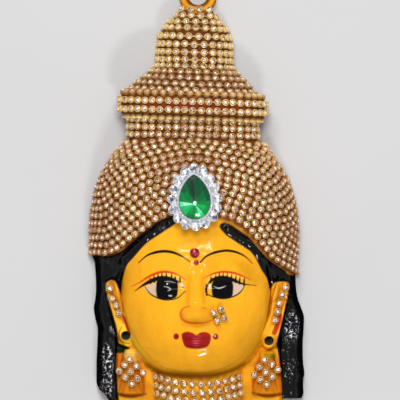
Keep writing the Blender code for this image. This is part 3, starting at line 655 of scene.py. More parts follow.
@dataclass(frozen=True)
class Studio:
    """Pale floor, soft lights and the camera over the mask."""

    centre: tuple[float, float] = (0.00183, -0.00382)
    framed: float = 0.170
    distance: float = 3.0
    focus_height: float = 0.018
    aimed_height: float = 0.02
    floor_reach: float = 4.0
    floor_colour: Colour = (0.60, 0.60, 0.61)
    light_colour: Colour = (1.0, 0.985, 0.96)
    sky_colour: Colour = (0.95, 0.97, 1.0)
    sky: float = 0.28
    sensor: float = 36.0
    lights: tuple = (
        ("key_above", (-0.22, 0.82, 1.12), (0.5, 0.03), 6.6, True),
        ("fill_below", (0.22, -0.85, 0.95), (0.25, 0.04), 4.5, True),
        ("strip", (0.0, 0.17, 2.4), (1.0, 0.05), 4.5, True),
        ("front", (0.0, 0.42, 1.5), (0.4, 0.4), 11.6, False),
    )

    def floor(self) -> None:
        """A plain pale floor just under the back rim, faintly mottled."""
        tree = Tree("studio_floor")
        mottle = tree.noise(9.0, 3.0, 0.5)
        colour = tree.mix(mottle, self.floor_colour, tuple(0.93 * c for c in self.floor_colour))
        tree.dress(Base_Color=colour, Roughness=0.85)
        r = self.floor_reach
        points = np.array([(-r, -r, 0.0), (r, -r, 0.0), (r, r, 0.0), (-r, r, 0.0)]) - 0.0002 * UP
        made = new_mesh("studio_floor", points, [np.array([[0, 1, 2, 3]])], [tree.material])

    def light(
        self, name: str, at: Sequence[float], size: tuple[float, float], power: float, seen: bool
    ) -> None:
        """A soft light that faces the mask.

        Args:
            name: the light's name.
            at: its place in metres.
            size: its width and height in metres.
            power: its power in watts.
            seen: whether polished surfaces mirror it.
        """
        data = bpy.data.lights.new(name, "AREA")
        data.shape = "RECTANGLE"
        data.size, data.size_y = size
        data.energy = power
        data.color = self.light_colour
        made = bpy.data.objects.new(name, data)
        made.location = at
        aim = np.array([*self.centre, self.aimed_height]) - np.asarray(at)
        made.visible_glossy = seen
        made.rotation_mode = "QUATERNION"
        made.rotation_quaternion = look_along(aim)
        bpy.context.scene.collection.objects.link(made)

    def build(self) -> None:
        """Floor, lights, sky and camera."""
        self.floor()
        for row in self.lights:
            self.light(*row)
        scene = bpy.context.scene
        world = bpy.data.worlds.new("studio_sky")
        world.use_nodes = True
        back = world.node_tree.nodes["Background"]
        back.inputs["Color"].default_value = (*self.sky_colour, 1.0)
        back.inputs["Strength"].default_value = self.sky
        scene.world = world
        scene.view_settings.view_transform = "Standard"
        data = bpy.data.cameras.new("camera")
        data.sensor_width = self.sensor
        data.lens = self.sensor * self.distance / self.framed
        data.clip_end = 20.0
        camera = bpy.data.objects.new("camera", data)
        camera.location = (*self.centre, self.focus_height + self.distance)
        scene.collection.objects.link(camera)
        scene.camera = camera


def look_along(direction: Array) -> Array:
    """The turn that points an object's -Z along a direction, as a quaternion (w, x, y, z)."""
    back = -unit(direction)
    return unit(np.array([1.0 + back[2], -back[1], back[0], 0.0]))


# The cast's form


@dataclass(frozen=True)
class CastForm:
    """The cast's outer form as a height over places, all in hundredths of its height.

    The methods take places, x across and h up, as arrays, and give back one number for each place.
    """

    wall: float = 1.634
    rim: float = 0.5
    outline: tuple = (
        (0.0, -20.0, 24.6), (1.4, -20.8, 25.1), (3.5, -22.6, 25.0), (5.1, -23.1, 25.0),
        (6.9, -23.1, 25.3), (9.7, -23.1, 25.0), (14.4, -22.9, 24.9), (17.8, -22.8, 25.1),
        (20.6, -23.4, 25.2), (22.9, -23.7, 24.5), (24.8, -23.4, 23.8), (27.1, -23.2, 23.4),
        (33.6, -23.5, 23.1), (35.2, -24.1, 23.1), (38.7, -24.1, 23.3), (43.3, -23.9, 23.1),
        (47.9, -23.3, 22.3), (52.5, -21.9, 20.8), (57.2, -19.2, 17.9), (59.5, -17.3, 16.4),
        (62.5, -15.3, 14.3), (67.2, -15.2, 13.9), (67.5, -17.3, 16.0), (71.7, -17.3, 16.0),
        (72.1, -16.4, 14.8), (74.7, -13.1, 11.9), (77.5, -9.9, 9.1), (78.9, -8.9, 8.1),
        (86.3, -7.9, 7.5), (87.5, -7.0, 6.7), (89.3, -5.5, 5.4), (91.0, -4.0, 4.3), (93.1, -2.8, 3.6),
    )
    crown: tuple = (
        (28.0, 16.4, 0.0), (35.2, 17.3, 0.0), (41.0, 18.1, 0.0), (47.9, 18.5, 0.0), (54.9, 17.9, 0.5),
        (58.0, 16.9, 1.8), (60.4, 14.9, 3.6), (62.5, 12.5, 4.6), (67.2, 12.5, 5.0), (67.5, 16.1, 6.0),
        (71.7, 16.1, 6.0), (72.1, 14.9, 5.4), (74.7, 12.6, 3.6), (77.5, 10.2, 1.4), (78.9, 9.1, 0.4),
        (86.3, 8.3, 0.0), (87.5, 7.4, 0.0), (89.3, 6.0, 0.9), (91.0, 4.8, 1.8), (93.1, 3.7, 2.4),
    )
    crown_tilt: float = 0.035
    crown_edge: Path = (
        (-26.0, 34.8), (-19.9, 34.7), (-16.6, 36.5), (-11.6, 40.3), (-7.0, 43.4), (-0.4, 44.5),
        (6.1, 43.2), (10.1, 41.4), (14.0, 37.4), (17.1, 33.8), (20.0, 31.8), (22.3, 30.5), (26.0, 29.9),
    )
    crown_step: float = 1.0
    face_middle: tuple[float, float] = (0.0, 25.0)
    face_reach: tuple[float, float, float] = (17.4, 50.0, 19.2)
    face_fullness: float = 2.5
    face_base: float = 6.9
    face_rise: float = 10.4
    eyes: Path = ((-6.7, 27.5), (6.2, 27.6))
    nose_x: float = 0.3
    bumps: tuple = (
        ("left eye", -6.7, 27.5, 3.3, 1.9, 0.5),
        ("right eye", 6.2, 27.6, 3.3, 1.9, 0.5),
        ("left socket", -5.762, 29.5, 4.6, 1.6, -0.2),
        ("right socket", 5.332, 29.6, 4.6, 1.6, -0.2),
        ("nose tip", 0.3, 21.5, 2.15, 1.75, 1.75),
        ("left wing", -2.3, 21.2, 1.15, 1.45, 0.85),
        ("right wing", 2.9, 21.2, 1.15, 1.45, 0.85),
        ("groove over the lips", 0.1, 18.3, 0.5, 1.1, -0.25),
        ("upper lip, left", -1.15, 16.45, 1.5, 0.7, 0.75),
        ("upper lip, right", 1.35, 16.45, 1.5, 0.7, 0.75),
        ("lower lip", 0.1, 14.75, 2.2, 0.8, 1.0),
        ("left corner", -3.5, 15.9, 0.9, 0.9, -0.25),
        ("right corner", 3.7, 15.9, 0.9, 0.9, -0.25),
        ("chin", 0.1, 11.0, 4.2, 2.6, 0.5),
    )
    hairline_left: Path = (
        (-5.4, 42.2), (-7.6, 40.4), (-10.2, 38.5), (-12.9, 35.9), (-15.4, 33.1), (-16.8, 30.1),
        (-17.2, 26.6),
    )
    hairline_right: Path = (
        (5.6, 41.0), (7.6, 39.1), (10.2, 37.7), (12.7, 36.2), (14.4, 33.9), (15.9, 30.4), (17.1, 26.6),
    )
    roll_width: float = 2.6
    roll_rise: float = 0.75
    neck_x: float = 0.6
    neck_radius: float = 11.5
    neck_half_width: float = 11.0
    neck_middle_height: float = 10.7
    ground: float = 4.2
    hair: float = 6.9
    hair_rounding: float = 3.0
    lock_inner: tuple[float, float] = (-18.4, 19.7)
    ears: tuple = (
        ((-19.4, 28.4), (-18.9, 25.4), (-17.8, 21.2), (-16.6, 17.6), (-16.1, 16.0)),
        ((20.0, 28.0), (19.6, 25.4), (18.8, 21.2), (17.8, 18.0), (17.2, 15.6)),
    )
    ear_half_widths: tuple = (1.5, 1.9, 1.75, 2.0, 2.3)
    ear_plate: float = 2.3
    bells: tuple = ((-15.3, 2.6, 13.4, 3.4, 1.5), (16.5, 2.6, 12.6, 3.4, 1.7))
    bell_height: float = 2.9
    bell_flutes: int = 5
    flute_depth: float = 0.3
    crinkled: tuple = (
        (-20.6, 11.5, 1.6, 4.0), (-20.8, 4.5, 2.0, 3.4), (22.4, 18.5, 2.2, 4.6), (22.8, 8.5, 1.6, 3.0),
    )

    @property
    def top(self) -> float:
        """The level of the cast's upper end."""
        return self.outline[-1][0]

    def tilt(self, h: Array) -> Array:
        """How far the upper tiers fall towards one ear, for each step across."""
        return self.crown_tilt * ease(56.0, 68.0, h)

    def outline_at(self, x: Array, h: Array) -> tuple[Array, Array, Array]:
        """The tilted level through a place, and the outline's left and right x on it."""
        level = h + self.tilt(h) * x
        return level, column(self.outline, 1, level), column(self.outline, 2, level)

    def crown_height(self, x: Array, h: Array) -> Array:
        """Half an ellipse across each level, on upright sides."""
        level, left, right = self.outline_at(x, h)
        middle, side = column(self.crown, 1, level), column(self.crown, 2, level)
        across = np.clip((2 * x - left - right) / (right - left), -1, 1)
        return side + (middle - side) * np.sqrt(1 - across**2)

    def edge_of_crown(self, x: Array) -> Array:
        """The level of the crown's lower edge."""
        return column(self.crown_edge, 1, x)

    def face_height(self, x: Array, h: Array) -> Array:
        """A dome whose height is a power of the share of its reach, with the features on it."""
        reach = np.where(h > self.face_middle[1], self.face_reach[1], self.face_reach[2])
        out = np.hypot((x - self.face_middle[0]) / self.face_reach[0], (h - self.face_middle[1]) / reach)
        dome = self.face_base + self.face_rise * np.sqrt(np.clip(1 - out**self.face_fullness, 0, 1))
        return dome + self.features(x, h) - 60 * np.clip(out - 1, 0, 1)

    def features(self, x: Array, h: Array) -> Array:
        """The nose's ridge, widening to its tip, and a sum of Gaussian bumps.

        Each bump has its middle, its reach across and up, and its rise.
        """
        ridge = (0.35 + 0.95 * ease(31.0, 22.5, h)) * ease(34.0, 29.0, h) * ease(18.3, 20.6, h)
        width = 1.75 + 0.65 * ease(30.0, 22.0, h)
        total = ridge * np.exp(-((np.abs(x - self.nose_x) / width) ** 2.6))
        for _, *middle, reach_x, reach_h, rise in self.bumps:
            total = total + rise * hump(x, h, middle, reach_x, reach_h)
        return total

    def neck_height(self, x: Array, h: Array) -> Array:
        """A round column cut off at its half width, over plain ground."""
        across = np.clip(np.abs(x - self.neck_x), 0, self.neck_radius)
        rise = np.sqrt(self.neck_radius**2 - across**2)
        column_height = self.neck_middle_height - self.neck_radius + rise
        fade = ease(self.neck_half_width + 1.2, self.neck_half_width, across)
        return self.ground + (column_height - self.ground) * fade + 0 * h

    def hair_height(self, x: Array, h: Array) -> Array:
        """Side hair, rounded at the outline by a quarter ellipse, rising to the head under the crown."""
        _, left, right = self.outline_at(x, h)
        inside = np.clip(1 - np.minimum(x - left, right - x) / self.hair_rounding, 0, 1)
        sides = self.hair * np.sqrt(1 - inside**2)
        head = self.crown_height(x, np.maximum(h, self.crown[0][0])) - self.crown_step
        return sides + (np.maximum(head, sides) - sides) * ease(26.5, 35.0, h)

    def is_lock(self, x: Array, h: Array) -> Array:
        """1 on the locks beside the neck, 0 on the ground between them."""
        left = ease(self.lock_inner[0] + 0.4, self.lock_inner[0] - 0.4, x)
        right = ease(self.lock_inner[1] - 0.4, self.lock_inner[1] + 0.4, x)
        return np.maximum(left + right, ease(14.0, 17.0, h))

    def ear_rise(self, x: Array, h: Array, path: Path) -> Array:
        """A plate along the ear's line, eased at its border and hollowed in the middle.

        Args:
            x: places across.
            h: places up.
            path: the ear's line.

        Returns:
            The rise.
        """
        away, along = along_path(x, h, path)
        half = np.interp(along, range(len(self.ear_half_widths)), self.ear_half_widths)
        hollow = 0.35 * ease(0.62, 0.15, away / half) * ease(4.0, 3.2, along)
        return self.ear_plate * ease(1.12, 0.82, away / half) - hollow

    def bell_rise(self, x: Array, h: Array, bell: Sequence[float]) -> Array:
        """Half an ellipse across a bell that widens downwards, with flutes by the size of a sine.

        Args:
            x: places across.
            h: places up.
            bell: its middle, lower and upper level, and half widths.

        Returns:
            The rise.
        """
        middle, low, high, wide, narrow = bell
        half = narrow + (wide - narrow) * ease(high, low + 2.0, h)
        across = np.clip(np.abs(x - middle) / half, 0, 1)
        ends = ease(low - 0.5, low + 0.5, h) * ease(high + 0.8, high - 0.8, h)
        wave = np.abs(np.sin(0.5 * self.bell_flutes * math.pi * across))
        flutes = self.flute_depth * wave * ease(high - 4.0, low + 3.0, h) * ease(1.0, 0.9, across)
        return (self.bell_height * np.sqrt(1 - across**2) - flutes) * ends

    def outside_face(self, x: Array, h: Array) -> Array:
        """How far a place lies outside the hairline, above 0 on the hair."""
        sides = (self.hairline_left[::-1], self.hairline_right[::-1])
        left, right = (smooth_through([p[1] for p in side], [p[0] for p in side], h) for side in sides)
        return np.maximum(left - x, x - right)

    def hair_roll(self, x: Array, h: Array) -> Array:
        """Half a sine wave across the roll of hair between brow and crown."""
        rise, outside = 0, ease(-0.3, 0.5, self.outside_face(x, h))
        for hairline in (self.hairline_left, self.hairline_right):
            away, along = along_path(x, h, hairline)
            swell = np.sin(np.pi * np.clip(away / self.roll_width, 0, 1))
            rise = rise + outside * swell * ease(0, 0.7, along)
        return self.roll_rise * rise

    def height(self, x: Array, h: Array) -> Array:
        """The whole outer surface: ground, locks, bells, ears, face, roll and crown in that order."""
        ground = np.maximum(self.neck_height(x, h), self.ground)
        low = ground + (self.hair_height(x, h) - ground) * self.is_lock(x, h)
        low = low + sum(self.bell_rise(x, h, bell) for bell in self.bells)
        low = low + sum(self.ear_rise(x, h, path) for path in self.ears)
        body = soft_max(low, self.face_height(x, h), 0.5) + self.hair_roll(x, h)
        on_crown = ease(-0.15, 0.15, h - self.edge_of_crown(x))
        whole = body + (self.crown_height(x, h) - body) * on_crown
        _, left, right = self.outline_at(x, h)
        edge = np.sqrt(np.clip(np.minimum(x - left, right - x) / 1.2, 0, 1))
        return np.maximum(np.minimum(whole, self.rim + 30 * edge), self.rim)

    def crinkle(self, x: Array, h: Array) -> Array:
        """Where the hair is modelled in small curls."""
        return np.clip(sum(hump(x, h, spot[:2], spot[2], spot[3]) for spot in self.crinkled), 0, 1)

    def lower_end(self, x: Array) -> Array:
        """The lower edge: the neck reaches furthest, the locks end a little higher."""
        return 1.1 * ease(-17.0, -19.5, x) + 1.9 * ease(18.5, 20.5, x)

    def point(self, x: Array, h: Array) -> Array:
        """A point of the outer surface in metres."""
        return to_metres(x, h, self.height(x, h))

    def neck_point(self, x: Array, h: Array) -> Array:
        """A point of the neck's round column in metres."""
        return to_metres(x, h, self.neck_height(x, h))

    def crown_point(self, turn: Array, h: Array) -> Array:
        """A point of the crown: x by the sine and z by the cosine of a turn round its middle.

        Args:
            turn: the turn in radians.
            h: the level.

        Returns:
            The point in metres.
        """
        left, right = column(self.outline, 1, h), column(self.outline, 2, h)
        middle, side = column(self.crown, 1, h), column(self.crown, 2, h)
        x = (left + right) / 2 + (right - left) / 2 * np.sin(turn)
        return to_metres(x, h - self.tilt(h) * x, side + (middle - side) * np.cos(turn))

    def seat(self, x: float, h: float, radius: float, gap: float = 0.0004) -> tuple[Array, Array]:
        """Centre and outward direction of a disc that just clears the cast.

        Args:
            x: place across.
            h: place up.
            radius: the disc's radius in metres.
            gap: how far it clears the cast.

        Returns:
            The centre in metres and the unit direction.
        """
        reach = radius / HUNDREDTH
        east, west = self.point(x + reach, h), self.point(x - reach, h)
        north, south = self.point(x, h + reach), self.point(x, h - reach)
        normal = np.cross(east - west, north - south)
        normal /= np.linalg.norm(normal)
        angles = turns(12)
        around = self.point(x + reach * np.cos(angles), h + reach * np.sin(angles))
        rise = max(0.0, float(((around - self.point(x, h)) @ normal).max()))
        return self.point(x, h) + normal * (rise + gap), normal


# Paint


@dataclass(frozen=True)
class Stroke:
    """A painted line: path, full width, share of it at each end, colour, soft edge, strength."""

    path: Path
    width: float
    colour: Colour
    ends: tuple[float, float] = (0.35, 0.35)
    soft: float = 0.10
    strength: float = 1.0

    def cover(self, x: Array, h: Array) -> Array:
        """How far the paint covers each place: 1 within the half width, eased at its edge.

        Args:
            x: places across.
            h: places up.

        Returns:
            The share covered.
        """
        line = rounded(self.path)
        away, along = along_path(x, h, line)
        share = along / (len(line) - 1)
        first = self.ends[0] + (1 - self.ends[0]) * ease(0.0, 0.42, share)
        last = self.ends[1] + (1 - self.ends[1]) * ease(1.0, 0.58, share)
        half = 0.5 * self.width * np.minimum(first, last)
        return self.strength * ease(half + self.soft, half - self.soft, away)

    def box(self) -> tuple[Array, Array]:
        """The corners of all that the paint may reach."""
        points, reach = np.asarray(self.path), self.width + self.soft + 0.6
        return points.min(0) - reach, points.max(0) + reach


@dataclass(frozen=True)
class Patch:
    """A painted area: border, colour, soft edge, strength."""

    path: Path
    colour: Colour
    soft: float = 0.10
    strength: float = 1.0

    def cover(self, x: Array, h: Array) -> Array:
        """How far the paint covers each place: 1 inside the smooth border."""
        return self.strength * ease(-self.soft, self.soft, inside_of(x, h, rounded(self.path, closed=True)))

    def box(self) -> tuple[Array, Array]:
        """The corners of all that the paint may reach."""
        points, reach = np.asarray(self.path), self.soft + 1.0
        return points.min(0) - reach, points.max(0) + reach


Coats = list[Stroke | Patch]


def lay_on(colours: Array, coats: Coats, x: Array, h: Array) -> None:
    """Paints strokes and patches one over another.

    Args:
        colours: one colour for each place, changed in place.
        coats: the paint in the order it is laid on.
        x: places across.
        h: places up.
    """
    for coat in coats:
        low, high = coat.box()
        near = np.flatnonzero((x > low[0]) & (x < high[0]) & (h > low[1]) & (h < high[1]))
        colours[near] = blend(colours[near], coat.colour, coat.cover(x[near], h[near]))


INK = linear(20, 14, 14)
BLACK = linear(9, 8, 11)
CRIMSON = linear(154, 14, 26)
LID_RED = linear(214, 62, 16)
OCHRE_DIRT_AND_SHADE = linear(176, 112, 12)
EYE_WHITE = linear(214, 186, 160)
GLINT = linear(236, 238, 240)
PALE = linear(252, 214, 110)
BROWN = linear(112, 60, 14)
EAR_RED = linear(178, 34, 24)


@dataclass(frozen=True)
class FacePaint:
    """The painted face: coats of paint in the order they are laid on."""

    hair_left: Path = (
        (-4.5, 43.0), (-5.0, 42.2), (-6.6, 41.1), (-8.6, 39.8), (-11.5, 37.8), (-14.2, 34.8),
        (-15.8, 32.9), (-16.7, 30.3), (-17.2, 27.4), (-17.1, 25.6), (-17.6, 26.6), (-18.3, 28.3),
        (-18.8, 29.1), (-19.7, 29.3), (-20.5, 28.8), (-20.8, 28.0), (-20.1, 24.9), (-19.1, 21.4),
        (-18.3, 18.3), (-18.1, 16.2), (-17.9, 14.8), (-18.2, 12.8), (-18.5, 9.6), (-18.2, 6.5),
        (-18.1, 3.6), (-18.1, -4.0),
        (-30.0, -4.0), (-30.0, 34.6), (-21.5, 34.9), (-17.5, 36.0), (-14.6, 38.4), (-12.0, 40.7),
        (-8.6, 43.0), (-5.7, 44.4),
    )
    hair_right: Path = (
        (5.5, 41.9), (5.9, 41.0), (7.3, 39.6), (10.2, 37.6), (12.5, 36.1), (13.9, 34.3), (15.1, 31.9),
        (16.4, 29.8), (17.1, 27.3), (17.4, 27.2), (18.0, 28.4), (18.9, 28.9), (21.1, 28.9),
        (21.5, 28.2), (21.4, 26.6), (20.6, 22.9), (20.0, 20.0), (19.3, 17.4), (18.8, 15.1),
        (18.8, 13.6), (19.4, 10.8), (19.8, 6.5), (20.0, 0.7), (20.0, -4.0), (30.0, -4.0), (30.0, 29.8),
        (22.5, 30.5), (20.6, 31.6), (17.1, 34.0), (14.8, 36.5), (12.6, 39.1), (10.8, 40.5), (8.6, 42.0),
        (7.0, 42.7), (6.0, 42.6),
    )
    lash_places: tuple = (
        (-10.4, 28.7, 29.9), (-9.5, 29.0, 30.6), (-8.6, 29.3, 30.9), (-7.7, 29.4, 31.1),
        (-6.7, 29.4, 31.1), (-5.5, 29.3, 30.9), (-4.7, 29.1, 30.5), (-3.6, 28.6, 30.2),
        (3.5, 28.9, 30.4), (4.6, 29.3, 30.8), (5.4, 29.4, 31.1), (6.3, 29.4, 31.1), (7.2, 29.3, 31.0),
        (8.2, 29.1, 30.8), (9.2, 28.9, 30.5), (10.1, 28.6, 30.2), (11.1, 28.3, 29.9),
    )

    def painted_shade_light_and_smudges(self) -> Coats:
        """Ochre painted shade on jaw, cheeks, neck and beside the nose; painted light beside the jaw."""
        jaw = ((17.0, 25.0), (16.3, 20.8), (15.3, 18.0), (13.2, 14.2), (10.4, 11.1), (7.2, 9.4), (3.0, 8.3))
        low_cheeks = (
            (-13.4, 23.0), (-10.8, 15.4), (-7.0, 12.6), (0.0, 11.2), (7.0, 12.6), (10.8, 15.4),
            (13.2, 20.0),
        )
        beside = ((-17.4, 21.0), (-16.2, 17.0), (-14.4, 13.8), (-12.2, 10.8))
        chin = ((-11.5, 9.5), (-7.4, 8.0), (-3.0, 7.3), (0.2, 7.1), (3.4, 7.2), (7.6, 8.2), (11.3, 9.8))
        return [
            # Painted shade: ochre where the right jaw and the lower cheeks turn away.
            Stroke(jaw, 3.4, OCHRE_DIRT_AND_SHADE, (0.3, 0.6), 1.6, 0.18),
            Stroke(low_cheeks, 5.4, OCHRE_DIRT_AND_SHADE, (0.5, 0.5), 2.7, 0.24),
            # An ochre smudge at the right brow's end, partly dirt and partly painted shade.
            Stroke(((9.2, 33.8), (11.4, 31.8), (13.6, 29.2)), 3.0, OCHRE_DIRT_AND_SHADE, (0.5, 0.5), 1.5, 0.35),
            # Painted shade down both sides of the nose's bridge.
            Stroke(((-1.5, 30.2), (-1.7, 27.0), (-1.9, 24.0)), 1.3, OCHRE_DIRT_AND_SHADE, (0.5, 0.5), 0.65, 0.4),
            Stroke(((1.6, 30.2), (1.7, 27.0), (1.9, 24.4)), 1.3, OCHRE_DIRT_AND_SHADE, (0.5, 0.5), 0.65, 0.45),
            # Painted light: lighter yellow on the steep sides beside the jaw.
            Stroke(beside, 2.6, linear(255, 208, 58), (0.6, 0.6), 1.2, 0.8),
            Stroke(
                ((18.0, 18.0), (15.4, 13.6), (12.6, 10.6)),
                2.0, linear(255, 200, 50), (0.6, 0.6), 1.0, 0.4,
            ),
            # Painted shadow under the chin.
            Stroke(chin, 2.1, linear(118, 64, 6), (0.3, 0.3), 0.9, 0.95),
            # An ochre band low on the neck.
            Stroke(
                ((-11.0, 3.0), (0.5, 0.6), (12.0, 3.0)),
                5.6, linear(188, 120, 22), (0.9, 0.9), 1.5, 0.7,
            ),
        ]

    def ears_and_bells(self) -> Coats:
        """Orange-brown bell earrings, green and red touches, and lines round the ears."""
        orange, deep = linear(206, 116, 20), linear(122, 58, 14)
        coats: Coats = [
            Patch(
                (
                    (-18.3, 12.6), (-16.4, 12.8), (-14.3, 12.0), (-12.3, 9.6), (-11.9, 6.5),
                    (-12.2, 3.0), (-18.3, 3.0),
                ),
                orange, 0.4, 0.9,
            ),
            Patch(
                (
                    (13.6, 9.4), (14.8, 11.1), (16.5, 11.5), (19.3, 11.2), (19.9, 6.5), (20.0, 3.0),
                    (13.6, 3.0),
                ),
                orange, 0.4, 0.85,
            ),
            # Painted highlight: a pale patch on top of the left bell.
            Patch(
                ((-16.6, 12.5), (-14.9, 13.1), (-13.2, 12.5), (-12.6, 11.1), (-14.3, 10.4), (-16.4, 11.3)),
                PALE, 0.3, 0.75,
            ),
            Patch(
                ((-18.3, 14.5), (-16.6, 14.3), (-15.3, 13.5), (-16.4, 13.1), (-16.7, 12.5), (-18.3, 12.5)),
                linear(22, 44, 22), 0.15,
            ),
            Patch(
                ((15.9, 12.3), (18.5, 12.1), (18.5, 11.4), (16.2, 11.5)),
                linear(128, 136, 20), 0.2, 0.85,
            ),
            # Dark lines along each bell's lower edge: partly painted outline, partly painted shadow under
            # its rim.
            Stroke(((-18.4, 3.1), (-15.2, 2.3), (-11.6, 2.9)), 0.9, deep, (0.8, 0.4), 0.3, 0.9),
            Stroke(((13.2, 3.2), (16.6, 2.4), (20.0, 2.9)), 0.9, deep, (0.4, 0.8), 0.3, 0.9),
            Stroke(
                ((-19.5, 28.6), (-18.8, 25.8), (-17.6, 22.0), (-16.8, 19.6)),
                1.9, linear(196, 116, 36), (0.7, 0.4), 0.3, 0.75,
            ),
            Stroke(
                ((-19.9, 27.8), (-19.3, 25.4), (-18.6, 23.0)),
                0.62, linear(150, 44, 26), (0.4, 0.3), 0.25, 0.85,
            ),
            Stroke(((-17.9, 26.9), (-17.2, 24.6), (-16.7, 22.0)), 0.34, BROWN, (0.4, 0.3), 0.2, 0.8),
            Stroke(((-17.2, 21.9), (-16.3, 19.9), (-15.3, 17.0)), 0.75, EAR_RED, (0.2, 1.0), 0.2, 0.95),
            Stroke(
                ((19.9, 23.0), (19.5, 21.0), (19.2, 19.6), (18.2, 17.2)),
                1.15, EAR_RED, (0.25, 1.0), 0.15, 0.95,
            ),
            Stroke(
                ((19.6, 28.2), (19.2, 25.6), (18.5, 22.0), (17.6, 19.0)),
                1.5, linear(206, 128, 36), (0.7, 0.4), 0.4, 0.6,
            ),
            Stroke(
                ((20.7, 25.6), (20.5, 24.2), (20.0, 22.6)),
                0.5, linear(200, 60, 20), (0.3, 0.3), 0.2, 0.7,
            ),
            Stroke(
                ((-17.1, 18.6), (-17.7, 17.4), (-17.6, 15.9), (-16.8, 14.9), (-15.4, 14.6)),
                0.28, BROWN, (0.5, 0.4), 0.12,
            ),
            Stroke(
                ((-18.6, 19.6), (-18.1, 17.2), (-17.8, 15.6), (-16.6, 14.4)),
                0.3, BROWN, (0.4, 0.6), 0.15, 0.9,
            ),
            Stroke(
                ((17.5, 27.6), (17.2, 24.9), (16.6, 20.8), (15.8, 18.0)),
                0.28, BROWN, (0.7, 0.2), 0.12, 0.9,
            ),
            Stroke(
                ((18.6, 14.6), (17.4, 13.3), (16.3, 12.8)),
                0.7, linear(150, 72, 16), (0.7, 0.3), 0.3, 0.8,
            ),
        ]
        for middle, low in ((-15.3, 3.2), (16.5, 3.2)):
            for n in (-2, -1, 0, 1, 2):
                foot = middle + 1.25 * n
                streak = ((middle + 0.85 * n, low + 4.0), (foot, low + 0.4))
                coats.append(Stroke(streak, 0.34, deep, (0.2, 0.8), 0.2, 0.55))
        return coats

    def lines(self) -> Coats:
        """Crease round the face in brown paint and painted shade; brows, lids, lashes, eyes, nose and
        mouth.
        """
        left_crease_line_and_shade = (
            (-17.2, 26.6), (-16.8, 23.7), (-16.1, 21.2), (-14.9, 18.0), (-13.5, 15.4), (-11.5, 12.5),
            (-9.7, 10.7),
        )
        low_crease_line_and_shade = (
            (-9.7, 10.7), (-7.4, 9.3), (-4.3, 8.4), (0.0, 7.9), (4.0, 8.3), (8.0, 9.8), (11.0, 12.0),
        )
        return [
            # Brown crease lines, partly paint and partly painted shade.
            Stroke(left_crease_line_and_shade, 0.30, linear(150, 88, 12), (1.0, 0.3), 0.16, 0.45),
            Stroke(low_crease_line_and_shade, 0.26, linear(140, 84, 10), (0.3, 0.2), 0.2, 0.6),
            *self.brows(),
            *self.eyes(),
            *self.nose_and_mouth(),
        ]

    def brows(self) -> Coats:
        """Two tapered arcs."""
        left = (
            (-13.2, 33.4), (-11.4, 35.0), (-9.4, 35.8), (-7.2, 36.1), (-5.1, 35.8), (-3.1, 34.9),
            (-1.3, 33.7),
        )
        right = (
            (1.0, 33.5), (2.4, 34.9), (4.4, 35.8), (7.0, 36.25), (9.3, 35.9), (11.4, 34.9),
            (13.1, 33.3),
        )
        return [Stroke(left, 0.68, INK, (0.35, 0.35), 0.09), Stroke(right, 0.60, INK, (0.6, 0.3), 0.09)]

    def eyes(self) -> Coats:
        """Lids, whites, irises, lashes and glints of both eyes."""
        white_left = ((-11.9, 27.6), (-10.4, 28.4), (-8.8, 28.9), (-8.6, 25.6), (-10.0, 26.0))
        white_right = ((8.2, 29.1), (9.8, 28.7), (11.2, 28.2), (10.2, 26.7), (8.2, 25.8))
        iris_left = (
            (-9.1, 28.6), (-8.6, 29.4), (-6.6, 29.7), (-4.8, 29.4), (-4.15, 28.6), (-4.15, 26.5),
            (-4.7, 25.4), (-6.6, 25.0), (-8.6, 25.3), (-9.1, 26.4),
        )
        iris_right = (
            (3.75, 28.6), (4.3, 29.3), (6.2, 29.6), (8.1, 29.3), (8.6, 28.6), (8.6, 26.5), (8.1, 25.6),
            (6.2, 25.2), (4.3, 25.5), (3.7, 26.5),
        )
        lid_left = (
            (-14.0, 26.9), (-12.4, 28.1), (-10.6, 29.1), (-8.7, 29.8), (-6.8, 29.95), (-4.6, 29.4),
            (-2.8, 27.8),
        )
        lid_right = (
            (2.8, 28.1), (3.4, 29.2), (4.7, 29.8), (6.4, 30.0), (8.6, 29.5), (10.8, 28.6),
            (14.0, 28.15),
        )
        low_left = ((-11.7, 27.9), (-10.6, 26.4), (-8.9, 25.4), (-6.8, 24.9), (-4.3, 25.3), (-2.4, 26.9))
        low_right = ((2.7, 26.2), (4.1, 25.6), (6.4, 25.2), (9.0, 25.8), (10.6, 27.0), (11.3, 28.3))
        red_left = (
            (-14.9, 27.9), (-12.9, 28.9), (-10.9, 30.2), (-8.7, 31.15), (-6.6, 31.35), (-4.4, 30.8),
            (-2.3, 29.5),
        )
        red_right = ((2.0, 29.9), (3.6, 30.8), (6.1, 31.35), (8.8, 31.1), (11.0, 30.3), (12.8, 29.5))
        coats: Coats = [
            Patch(
                ((-10.7, 29.2), (-8.6, 30.9), (-6.5, 31.2), (-4.5, 30.6), (-3.2, 29.4), (-6.8, 29.9)),
                PALE, 0.25, 0.6,
            ),
            Patch(
                ((2.8, 29.3), (4.0, 30.6), (6.3, 31.2), (8.9, 30.8), (11.0, 29.8), (6.4, 29.9)),
                PALE, 0.25, 0.6,
            ),
            Stroke(red_left, 0.60, LID_RED, (0.3, 0.3), 0.12),
            Stroke(red_right, 0.54, LID_RED, (0.3, 0.3), 0.12),
            Patch(white_left, EYE_WHITE),
            Patch(white_right, EYE_WHITE),
            Patch(iris_left, BLACK, 0.08),
            Patch(iris_right, BLACK, 0.08),
            Stroke(low_left, 0.34, INK, (0.6, 0.6), 0.08),
            Stroke(low_right, 0.34, INK, (0.8, 0.6), 0.08),
            Stroke(((2.55, 28.5), (2.45, 27.2), (2.6, 26.0)), 0.55, INK, (0.6, 0.8), 0.08),
        ]
        for x, low, high in self.lash_places:
            coats.append(Stroke(((x, low), (x + 0.012 * x, high)), 0.42, INK, (1.0, 0.5), 0.09))
